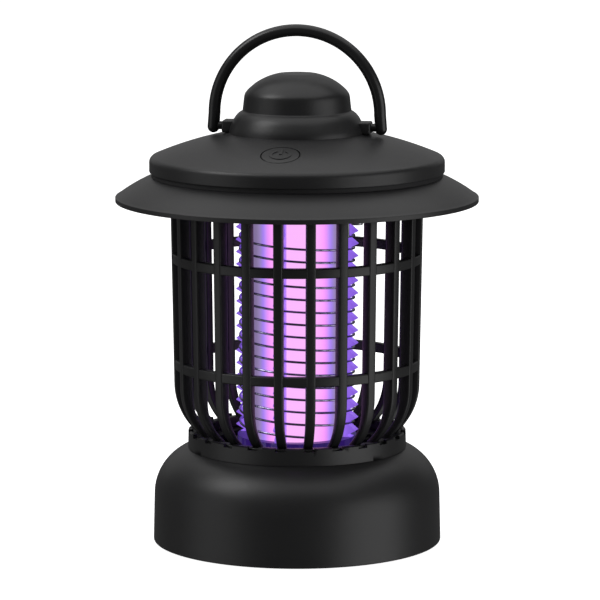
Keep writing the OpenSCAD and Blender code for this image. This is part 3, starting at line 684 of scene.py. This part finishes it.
def grown(tree, mesh, **values):
    """The mesh that a tree makes from a start mesh and values for its named inputs."""
    work = added("work", mesh)
    grow = work.modifiers.new("grow", "NODES")
    grow.node_group = tree
    for item in tree.interface.items_tree:
        if item.in_out == "INPUT" and item.name in values:
            grow[item.identifier] = values[item.name]
    result = evaluated(work)
    bpy.data.objects.remove(work)
    return shaded(result)


ROUND_REPEAT = round_repeat_tree()
HELIX = helix_tree()


def round_copies(mesh, node, count, first=0.0):
    """Even copies of a form right round the axis, in the node's material."""
    return grown(ROUND_REPEAT, mesh, Count=count, First=first, Step=FULL_TURN / count,
                 Material=MATERIALS[SLOT_OF[node]])


# ---------- Tray ----------

TRAY_WALL = 2.2 * MM
TRAY_DRAFT = 0.4 * MM
TRAY_SHOULDER = 18.2 * MM
SHOULDER_END = 73  # degrees of the shoulder's arc, from the wall up to the mouth
MOUTH_R = 37.5 * MM
SPIGOT_H = 7 * MM
SPIGOT_WALL = 2 * MM
BOSS_BORE = 1.3 * MM
BOSS_R = 3.2 * MM
BOSS_H = 11 * MM
SCREW_HEAD_R = 1.8 * MM
FOOT_R = 6 * MM


def tray_shell():
    out = reach("tray_shell")
    centre = (out - TRAY_DRAFT - TRAY_SHOULDER,
              MOUTH_Z - TRAY_SHOULDER * math.sin(math.radians(SHOULDER_END)))
    inner = TRAY_SHOULDER - TRAY_WALL
    ceiling = MOUTH_Z - TRAY_WALL
    outline = [(out - TRAY_WALL, TRAY_Z), (out, TRAY_Z)]
    outline += arc(*centre, TRAY_SHOULDER, 0, SHOULDER_END, 28)
    outline += [(MOUTH_R, MOUTH_Z), (MOUTH_R, MOUTH_Z - SPIGOT_H),
                (MOUTH_R + SPIGOT_WALL, MOUTH_Z - SPIGOT_H), (MOUTH_R + SPIGOT_WALL, ceiling)]
    outline += arc(*centre, inner, math.degrees(math.asin((ceiling - centre[1]) / inner)), 0, 20)
    shell = lathe(eased(outline, 0.6 * MM))
    boss_low = top("tray_floor")
    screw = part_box("floor_screws")[1]
    screw_ring = (screw.x - SCREW_HEAD_R) * math.sqrt(2)
    boss = lathe(eased([(BOSS_BORE, boss_low), (BOSS_R, boss_low), (BOSS_R, boss_low + BOSS_H),
                        (BOSS_BORE, boss_low + BOSS_H)], 0.3 * MM), 32)
    boss = placed(boss, Matrix.Translation((0, -screw_ring, 0)))
    bosses = round_copies(boss, "tray_shell", 4, math.pi / 4)
    piece("tray_shell_moulding", joined(shell, bosses), "tray_shell")


def foot_pads():
    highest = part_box("foot_pads")[1]
    pad = lathe(eased([(0, 0), (FOOT_R, 0), (FOOT_R, highest.z), (0, highest.z)], 0.5 * MM), 64)
    pad = placed(pad, Matrix.Translation((0, -(highest.x - FOOT_R), 0)))
    piece("rubber_feet", round_copies(pad, "foot_pads", 4), "foot_pads")


def tray_parts():
    tray_shell()
    foot_pads()
    piece("tray_bottom_plate", from_cad("tray_floor", 0.2 * MM), "tray_floor")
    piece("bottom_plate_screws", from_cad("floor_screws", 0.1 * MM), "floor_screws")


# ---------- Collar and cage ----------

RIB_W = 3.3 * MM
RIB_DEPTH = 4.2 * MM
RIB_LOW_R = 45.1 * MM
BEND_R = 24.5 * MM
BEND_Z = COLLAR_Z + 17.9 * MM
BAND_H = 3.6 * MM
BAND_DEPTH = 3 * MM
BAND_HEIGHTS = (24.9 * MM, 64.0 * MM)
FOOT_RING_OUT = 38.2 * MM
FOOT_RING_IN = 34.5 * MM
FOOT_TOP_Z = COLLAR_Z - 0.6 * MM
UPPER_RING_H = 2.6 * MM
INNER_BEND_DROP = 3.5 * MM  # the inner face starts to bend this much lower than the outer one


def rib_face(z):
    """Radius of a rib's outer face at a height above the bend."""
    return RIB_LOW_R + (reach("cage") - RIB_LOW_R) * (z - BEND_Z) / (DECK_Z - BEND_Z)


def rib():
    """One rib: straight above, bending in to the foot ring, and deeper above than at its foot."""
    out = reach("cage")
    base = low("cage") + 1 * MM
    outer_end = math.degrees(math.asin((BEND_Z - FOOT_TOP_Z) / BEND_R))
    inner_bend_z = BEND_Z - INNER_BEND_DROP
    drop = inner_bend_z - COLLAR_Z
    run = RIB_LOW_R - RIB_DEPTH - (FOOT_RING_IN - 0.4 * MM)
    inner_r = (drop * drop + run * run) / (2 * run)
    inner_end = math.degrees(math.asin(min(0.999, (inner_bend_z - FOOT_TOP_Z) / inner_r)))
    outline = [(out, DECK_Z)]
    outline += arc(RIB_LOW_R - BEND_R, BEND_Z, BEND_R, 0, -outer_end, 20)
    outline += [(outline[-1][0], base), (FOOT_RING_IN + 0.6 * MM, base)]
    outline += arc(RIB_LOW_R - RIB_DEPTH - inner_r, inner_bend_z, inner_r, -inner_end, 0, 14)
    outline += [(out - RIB_DEPTH, DECK_Z)]
    return slab(outline, RIB_W, 0.5 * MM)


def ring(outer, depth, bottom, height, ease=0.4 * MM):
    """A band of square section with rounded corners."""
    return lathe(eased([(outer - depth, bottom), (outer, bottom), (outer, bottom + height),
                        (outer - depth, bottom + height)], ease, 4))


def cage():
    ribs = round_copies(rib(), "cage", RIBS)
    bands = []
    for height in BAND_HEIGHTS:
        z = COLLAR_Z + height
        bands.append(ring(rib_face(z) - 0.2 * MM, BAND_DEPTH, z - BAND_H / 2, BAND_H, 0.6 * MM))
    upper = ring(reach("cage") - 0.05 * MM, RIB_DEPTH, DECK_Z - UPPER_RING_H, UPPER_RING_H)
    foot = ring(FOOT_RING_OUT, FOOT_RING_OUT - FOOT_RING_IN, low("cage"), FOOT_TOP_Z - low("cage"))
    piece("ribbed_cage", joined(ribs, *bands, upper, foot), "cage")


def cage_parts():
    cage()
    piece("collar", from_cad("collar_ring", 0.15 * MM), "collar_ring")
    piece("collar_fixings", from_cad("collar_screws", 0.1 * MM), "collar_screws")
    piece("core_fixings", from_cad("core_screws", 0.1 * MM), "core_screws")


# ---------- Grid core ----------

WIRE_RING = 20.9 * MM
WIRE_R = 0.45 * MM
WIRE_PITCH = 4.58 * MM
WIRE_ROWS = 16
WIRE_FOOT = 2.7 * MM
NOTCH_R = WIRE_RING - WIRE_R - 0.45 * MM
TOOTH_DEPTH = 2.9 * MM
TOOTH_TIP = 0.15 * MM  # half of the flat at a tooth's tip
NOTCH_FLAT = 0.5 * MM
POST_W = 3.8 * MM
POST_SEAT = 1.8 * MM  # how far a post stands in the core's foot and head
WIRE_LEAD = 2 * WIRE_PITCH
TOP_ROW_Z = CORE_BASE_Z + WIRE_FOOT + (WIRE_ROWS - 1) * WIRE_PITCH


def row_height(phi):
    """Height of the top row of wire at an angle from the front."""
    return TOP_ROW_Z - WIRE_LEAD * phi / FULL_TURN


def post_outline(phi):
    """A toothed post seen from the side: a notch at each wire, and a plain foot."""
    foot_r = NOTCH_R + 1.2 * MM
    high = CORE_CAP_Z - 1.6 * MM
    start = row_height(phi)
    first = start + WIRE_PITCH * math.floor((high - start) / WIRE_PITCH)
    rows = math.floor((first - CORE_BASE_Z - 0.6 * MM) / WIRE_PITCH)
    flank_up = 0.6 * (WIRE_PITCH - NOTCH_FLAT)
    inner = TUBE_R + 0.1 * MM
    outline = [(inner, CORE_BASE_Z - POST_SEAT), (inner, CORE_CAP_Z + POST_SEAT),
               (foot_r, CORE_CAP_Z + POST_SEAT), (foot_r, CORE_CAP_Z - 0.4 * MM)]
    for k in range(rows + 1):
        z = first - k * WIRE_PITCH
        outline += [(NOTCH_R, z + NOTCH_FLAT / 2), (NOTCH_R, z - NOTCH_FLAT / 2)]
        tip = z - NOTCH_FLAT / 2 - flank_up
        if k < rows:
            outline += [(NOTCH_R + TOOTH_DEPTH, tip + TOOTH_TIP), (NOTCH_R + TOOTH_DEPTH, tip - TOOTH_TIP)]
    foot_z = max(CORE_BASE_Z + 0.2 * MM, first - rows * WIRE_PITCH - NOTCH_FLAT / 2 - 1.2 * MM)
    return outline + [(foot_r, foot_z), (foot_r, CORE_BASE_Z - POST_SEAT)]


def grid_posts():
    for index in range(4):
        phi = POST_TURN + index * math.pi / 2
        mesh = slab(post_outline(phi), POST_W, 0.12 * MM, phi)
        piece(f"toothed_post_{index + 1}", mesh, f"grid_post_{index + 1}")


def grid_wires():
    """Two wires wound as one two-start helix; each ends a little past a post."""
    side = math.asin(POST_W / 2 / WIRE_RING) + math.radians(4)
    start = POST_TURN - math.pi / 2 - side
    runs = {"a": (start, start + math.pi * (WIRE_ROWS - 1) + 2 * side),
            "b": (start - math.pi, math.pi * (WIRE_ROWS - 2) + math.radians(25))}
    for key, (first, last) in runs.items():
        node = "grid_wire_" + key
        turn_down = 0 if key == "a" else WIRE_PITCH
        height = row_height(first) - turn_down
        mesh = grown(HELIX, bpy.data.meshes.new("start"), Ring=WIRE_RING, Wire=WIRE_R, From=first, To=last,
                     Start_height=height, Lead=WIRE_LEAD, Steps=int((last - first) * 16),
                     Material=MATERIALS[SLOT_OF[node]])
        piece("wound_wire_" + key, mesh, node)


def lamp_tube():
    wall = 1.4 * MM
    bottom, high = low("lamp_tube"), top("lamp_tube")
    outline = [(TUBE_R - wall, bottom), (TUBE_R, bottom), (TUBE_R, high), (TUBE_R - wall, high)]
    piece("diffuser_tube", lathe(eased(outline, 0.3 * MM)), "lamp_tube")


def core_parts():
    lamp_tube()
    grid_posts()
    grid_wires()
    piece("core_foot", from_cad("core_base", 0.25 * MM), "core_base")
    piece("core_head", from_cad("core_cap", 0.25 * MM), "core_cap")
    piece("core_head_fixings", from_cad("cap_screws", 0.1 * MM), "cap_screws")
    piece("wire_terminals", from_cad("grid_terminals", 0.1 * MM), "grid_terminals")


# ---------- Head ----------

BRIM_T = 1.9 * MM
BRIM_EDGE = 1.4 * MM
BRIM_CROWN_R = 60 * MM
WALL_IN_R = 49.9 * MM
WALL_OUT_R = 51.7 * MM
SHELF_R = 53.1 * MM
DECK_T = 2 * MM
ROOF_WALL = 2 * MM
CROWN_R = 134 * MM
RIM_ROUND = 2.4 * MM
SHOULDER_R = 24.7 * MM
ROOF_HOLE_R = 17 * MM
CROWN_Z = LAND_Z - math.sqrt(CROWN_R ** 2 - SHOULDER_R ** 2)


def brim_line(down):
    """The brim's upper surface from its edge up to the shelf, drawn lower by `down`."""
    first = Vector((reach("brim_shell") - 0.5 * MM, DECK_Z + 1.5 * MM))
    last = Vector((SHELF_R, SHELF_Z))
    chord = (last - first).length
    lean = math.atan2(last.y - first.y, first.x - last.x)
    half = math.asin(chord / 2 / BRIM_CROWN_R)
    middle = (first + last) / 2
    cx = middle.x - BRIM_CROWN_R * math.cos(half) * math.sin(lean)
    cz = middle.y - BRIM_CROWN_R * math.cos(half) * math.cos(lean)
    start = 90 - math.degrees(lean) - math.degrees(half)
    return arc(cx, cz - down, BRIM_CROWN_R, start, start + 2 * math.degrees(half), 16)


def brim_shell():
    edge = reach("brim_shell")
    under = [p for p in reversed(brim_line(BRIM_T * 1.15)) if p[0] > WALL_OUT_R and p[1] > DECK_Z]
    outline = [(0, DECK_Z), (WALL_OUT_R, DECK_Z), *under, (edge - BRIM_EDGE, low("brim_shell")),
               (edge, low("brim_shell")), (edge, DECK_Z + 1.3 * MM)]
    outline += [*brim_line(0), (WALL_IN_R, SHELF_Z), (WALL_IN_R, DECK_Z + DECK_T), (0, DECK_Z + DECK_T)]
    piece("brim_moulding", lathe(eased(outline, 0.2 * MM)), "brim_shell")


def roof_outline():
    """The roof's section: rim, rounded edge, crown and the flat land under the shoulder."""
    out = reach("roof_cover")
    x = out - RIM_ROUND
    z = CROWN_Z + math.sqrt((CROWN_R - RIM_ROUND) ** 2 - x * x)
    lean = math.degrees(math.asin(x / (CROWN_R - RIM_ROUND)))
    edge = math.degrees(math.asin(SHOULDER_R / CROWN_R))
    outline = [(out - ROOF_WALL, RIM_Z), (out, RIM_Z)]
    outline += arc(x, z, RIM_ROUND, 0, 90 - lean, 12)
    outline += arc(0, CROWN_Z, CROWN_R, 90 - lean + (lean - edge) / 30, 90 - edge, 29)
    outline += [(ROOF_HOLE_R, LAND_Z), (ROOF_HOLE_R, LAND_Z - ROOF_WALL)]
    inner = arc(0, CROWN_Z, CROWN_R - ROOF_WALL, 90 - edge, 90 - lean, 20)
    return eased(outline + inner + [(out - ROOF_WALL, z - 1 * MM)], 0.35 * MM)


BUTTON_R = 6.8 * MM
BUTTON_GAP = 0.35 * MM
SLEEVE_GAP = 1.55 * MM
SLEEVE_WALL = 1.2 * MM
SLEEVE_LOW = -11 * MM
SLEEVE_HIGH = -1.6 * MM
PORT_HALF_W = 6 * MM
PORT_DEPTH = 1.7 * MM
PORT_GAP = 0.3 * MM
BUTTON_AXIS = -Vector(JOINTS["button_press"]["axis"])
BUTTON_TILT = math.atan2(-BUTTON_AXIS.y, BUTTON_AXIS.z)


def at_button():
    """Places a form made on the origin, facing up, on the roof's crown where the button is."""
    spot = Vector((0, 0, CROWN_Z)) + BUTTON_AXIS * CROWN_R
    return Matrix.Translation(spot) @ Matrix.Rotation(BUTTON_TILT, 4, "X")


def plug(radius, bottom, high, steps=96):
    return lathe([(0, bottom), (radius, bottom), (radius, high), (0, high)], steps)


def roof_cover():
    shell = lathe(roof_outline())
    hole = placed(plug(BUTTON_R + BUTTON_GAP, -4 * MM, 5 * MM), at_button())
    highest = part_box("port_cover")[1]
    recess = block((-PORT_HALF_W - PORT_GAP, highest.y - PORT_DEPTH, RIM_Z - 2 * MM),
                   (PORT_HALF_W + PORT_GAP, highest.y + 4 * MM, highest.z + PORT_GAP), 0.25 * MM)
    socket_low, socket_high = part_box("usb_socket")
    mouth = block((socket_low.x - PORT_GAP, 40 * MM, socket_low.z - PORT_GAP),
                  (socket_high.x + PORT_GAP, highest.y + 1 * MM, socket_high.z + PORT_GAP), 0.2 * MM)
    shell = cut(shell, hole, recess, mouth)
    sleeve_in = BUTTON_R + SLEEVE_GAP
    sleeve_out = sleeve_in + SLEEVE_WALL
    sleeve = lathe(eased([(sleeve_in, SLEEVE_LOW), (sleeve_out, SLEEVE_LOW),
                          (sleeve_out, SLEEVE_HIGH), (sleeve_in, SLEEVE_HIGH)], 0.2 * MM), 96)
    piece("roof_moulding", joined(shell, placed(sleeve, at_button())), "roof_cover")


# How far each bell draws in, in millimetres; the shoulder's rise is in millimetres, and the dome's is
# its share of the dome's height
SHOULDER_BELL = [(0, 0), (0.15, 1.2), (0.55, 2.4), (1.05, 3.6), (1.55, 4.7), (2.1, 5.7), (2.9, 6.7),
                 (3.7, 7.4)]
DOME_BELL = [(-0.3, 0.18), (0, 0.4), (0.5, 0.49), (1.85, 0.6), (4.35, 0.755), (6.85, 0.86), (9.05, 0.93),
             (11.05, 0.975), (12.5, 1)]
CAP_WALL = 1.8 * MM
EAR_HALF_W = 4 * MM
EAR_DEPTH = 3.6 * MM
EAR_BORE_R = 1.55 * MM
EAR_BORE_DEPTH = 3.3 * MM


def shoulder_cap():
    """The bell under the dome, with an ear at each side for the handle's pin."""
    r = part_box("shoulder_cap")[1].y
    dome = reach("dome_cap")
    hole = dome - 3.5 * MM
    bell = [(r - inward * MM, LAND_Z + up * MM) for inward, up in SHOULDER_BELL]
    outline = rounded([*bell, (dome + 0.4 * MM, DOME_Z - 0.35 * MM), (dome, DOME_Z)])
    outline += [(hole, DOME_Z), (hole, DOME_Z - CAP_WALL),
                (dome - CAP_WALL, DOME_Z - CAP_WALL - 0.6 * MM), (r - 4 * MM, LAND_Z + 4.4 * MM),
                (r - 2.8 * MM, LAND_Z + 3 * MM), (r - 2.8 * MM, LAND_Z)]
    shell = lathe(outline)
    ears = []
    ear_top = LAND_Z + 2 * (PIVOT.z - LAND_Z) - 0.1 * MM
    for side in (-1, 1):
        inner, outer = side * (r - EAR_DEPTH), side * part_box("shoulder_cap")[1].x
        ear = block((min(inner, outer), -EAR_HALF_W, LAND_Z), (max(inner, outer), EAR_HALF_W, ear_top),
                    0.6 * MM, 4)
        seat = Matrix.Translation((outer - side * EAR_BORE_DEPTH, 0, PIVOT.z))
        facing = Matrix.Rotation(side * math.pi / 2, 4, "Y")
        bore = placed(plug(EAR_BORE_R, 0, EAR_BORE_DEPTH + 1 * MM, 48), seat @ facing)
        ears.append(cut(ear, bore))
    piece("shoulder_moulding", joined(shell, *ears), "shoulder_cap")


def dome_cap():
    """The dome, with a short plug below that stands in the shoulder's hole."""
    height = top("dome_cap") - DOME_Z
    r = reach("dome_cap")
    steep = r - 0.6 * MM
    plug_r = r - 3.7 * MM
    peak = top("dome_cap")
    bell = [(steep - inward * MM, DOME_Z + up * height) for inward, up in DOME_BELL]
    outline = rounded([(r, DOME_Z), *bell, (0, peak)])
    outline += [(0, peak - CAP_WALL), (steep - 13 * MM, peak - CAP_WALL),
                (steep - 7.8 * MM, DOME_Z + height * 0.71), (plug_r - CAP_WALL, DOME_Z + height * 0.42),
                (plug_r - CAP_WALL, DOME_Z - 3 * MM), (plug_r, DOME_Z - 3 * MM), (plug_r, DOME_Z)]
    piece("dome_moulding", lathe(outline), "dome_cap")


def head_parts():
    brim_shell()
    roof_cover()
    shoulder_cap()
    dome_cap()
    gasket_r = SHELF_R - 0.1 * MM
    gasket = ring(gasket_r, gasket_r - WALL_IN_R - 0.6 * MM, SHELF_Z, RIM_Z - SHELF_Z, 0.2 * MM)
    piece("roof_gasket_ring", gasket, "roof_gasket")
    piece("head_fixings", from_cad("head_screws", 0.1 * MM), "head_screws")
    piece("shoulder_fixings", from_cad("shoulder_screws", 0.1 * MM), "shoulder_screws")


# ---------- Handle ----------

LEG_SPLAY = 0.4 * MM
PIN_R = 1.5 * MM
PIN_DEPTH = 3 * MM


def handle():
    """The bail: a half round bow, two legs that lean out a little, and a pin from each leg."""
    lowest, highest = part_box("handle")
    wire = (highest.y - lowest.y) / 2
    foot = highest.x - wire
    leg = foot - LEG_SPLAY
    bow_z = highest.z - wire - leg
    path = [(foot, 0, PIVOT.z - 0.5 * MM), *[(x, 0, z) for x, z in arc(0, bow_z, leg, 0, 180, 72)],
            (-foot, 0, PIVOT.z - 0.5 * MM)]
    bow = sweep(path, wire, 32, 6)
    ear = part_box("shoulder_cap")[1].x
    pins = [sweep([(side * leg, 0, PIVOT.z), (side * (ear - PIN_DEPTH), 0, PIVOT.z)], PIN_R, 32)
            for side in (-1, 1)]
    piece("bail_handle", joined(bow, *pins), "handle")


# ---------- Power button ----------

SYMBOL_R = 3.4 * MM
SYMBOL_HALF = 0.5 * MM  # half the width of its strokes
SYMBOL_GAP = 28  # degrees left open at each side of the bar
SYMBOL_BAR = (0.3 * MM, 4.7 * MM)
SYMBOL_LOW = -0.15 * MM
SYMBOL_H = 0.28 * MM


def power_symbol():
    """A raised open ring with a bar through its gap."""
    first, last = 90 + SYMBOL_GAP, 450 - SYMBOL_GAP
    outer = arc(0, 0, SYMBOL_R + SYMBOL_HALF, first, last, 40)
    inner = arc(0, 0, SYMBOL_R - SYMBOL_HALF, last, first, 40)
    near, far = SYMBOL_BAR
    bar = [(-SYMBOL_HALF, near), (SYMBOL_HALF, near), (SYMBOL_HALF, far), (-SYMBOL_HALF, far)]
    meshes = []
    for outline in (outer + inner, bar):
        build = prism([(x, y, SYMBOL_LOW) for x, y in outline], (0, 0, SYMBOL_H))
        meshes.append(tidy(finished(build, "symbol")))
    return joined(*meshes)


def power_button():
    """The cap, with a flange that keeps it in the roof and a stem that works the switch."""
    face, flange_high, flange_low, stem_low = -0.1 * MM, -2.6 * MM, -3.6 * MM, -6 * MM
    flange_r = BUTTON_R + 1.2 * MM
    stem_r = 1.7 * MM
    outline = [(0, stem_low), (stem_r, stem_low), (stem_r, flange_low), (flange_r, flange_low),
               (flange_r, flange_high), (BUTTON_R, flange_high), (BUTTON_R, face), (0, face)]
    cap = lathe(eased(outline, 0.35 * MM), 96)
    piece("power_button_cap", placed(joined(cap, power_symbol()), at_button()), "power_button")


def button_parts():
    power_button()
    piece("port_flap", from_cad("port_cover", 0.15 * MM), "port_cover")
    piece("plunger", from_cad("switch_plunger", 0.12 * MM), "switch_plunger")


# ---------- Inner parts that keep their own shape ----------


def inner_parts():
    eased_parts = ("led_board", "uv_leds", "battery_holder", "battery_cell", "control_board",
                   "hv_transformer", "hv_capacitor", "charge_board", "usb_socket", "button_board",
                   "switch_body")
    for node in eased_parts:
        piece("inner_" + node, from_cad(node, 0.15 * MM), node)
    piece("inner_battery_leads", from_cad("battery_leads", 0, 50), "battery_leads")
    spring = piece("inner_button_spring", from_cad("button_spring", 0, 50), "button_spring")
    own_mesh(spring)


# ---------- Stage ----------

CAMERA_TURN = math.radians(8.6)
CAMERA_TILT = math.radians(8.8675)
CAMERA_AWAY = 1.389
CAMERA_HEIGHT = 0.306
CAMERA_ASIDE = 1.08 * MM
LENS = 230.6
AIM_Z = 0.09  # the height that the lights point at
FLOOR_HALF = 6


def camera():
    lens = bpy.data.cameras.new("camera")
    lens.lens = LENS
    lens.sensor_width = 36
    lens.clip_end = 20
    made = added("camera", lens)
    right = Vector((math.cos(CAMERA_TURN), math.sin(CAMERA_TURN), 0))
    away = Vector((math.sin(CAMERA_TURN), -math.cos(CAMERA_TURN), 0))
    made.location = away * CAMERA_AWAY + right * CAMERA_ASIDE + Vector((0, 0, CAMERA_HEIGHT))
    look = -away * math.cos(CAMERA_TILT) - Vector((0, 0, math.sin(CAMERA_TILT)))
    made.rotation_euler = look.to_track_quat("-Z", "Y").to_euler()
    bpy.context.scene.camera = made


def softbox(name, azimuth, elevation, distance, size, radiance):
    """A soft light aimed at the lantern. Degrees of azimuth count to the right from the camera's side."""
    width, height = size
    light = bpy.data.lights.new(name, "AREA")
    light.shape = "RECTANGLE"
    light.size, light.size_y = size
    light.energy = math.pi * width * height * radiance
    made = added(name, light)
    turn = CAMERA_TURN + math.radians(azimuth)
    rise = math.radians(elevation)
    outward = Vector((math.sin(turn) * math.cos(rise), -math.cos(turn) * math.cos(rise), math.sin(rise)))
    made.location = Vector((0, 0, AIM_Z)) + outward * distance
    made.rotation_euler = outward.to_track_quat("Z", "Y").to_euler()


def floor():
    """A pale floor that only the camera sees, so that it throws no light up into the black plastic."""
    build = bmesh.new()
    bmesh.ops.create_grid(build, x_segments=1, y_segments=1, size=FLOOR_HALF)
    mesh = finished(build, "floor")
    made = added("floor", mesh)
    made.visible_glossy = False
    made.visible_diffuse = False
    made.visible_shadow = False
    material = bpy.data.materials.new("pale_floor")
    material.use_nodes = True
    shader = material.node_tree.nodes["Principled BSDF"]
    shader.inputs["Base Color"].default_value = (0.8, 0.8, 0.8, 1)
    shader.inputs["Emission Color"].default_value = (1, 1, 1, 1)
    shader.inputs["Emission Strength"].default_value = 1.0
    mesh.materials.append(material)


def surroundings():
    """White to the camera, and dim to everything else."""
    world = bpy.data.worlds.new("studio")
    bpy.context.scene.world = world
    world.use_nodes = True
    graph = Graph(world.node_tree)
    seen = graph.node("ShaderNodeLightPath", output="Is Camera Ray")
    background = graph.tree.nodes["Background"]
    background.inputs["Color"].default_value = (1, 1, 1, 1)
    graph.feed(background.inputs["Strength"], seen * 0.9 + 0.1)


def stage():
    camera()
    floor()
    surroundings()
    bpy.context.scene.view_settings.view_transform = "Standard"
    softbox("key", -76, 45, 1.2, (0.53, 0.53), 4.5)
    softbox("left_strip", -68, -10, 1.4, (1.1, 1.6), 0.55)
    softbox("right_strip", 62, -10, 1.4, (1.35, 1.6), 1.3)
    softbox("overhead", 180, 88, 1.3, (2.2, 2.2), 1.0)
    softbox("backdrop", 180, 27, 2.0, (3.5, 1.7), 0.23)


tray_parts()
cage_parts()
core_parts()
head_parts()
handle()
button_parts()
inner_parts()
stage()
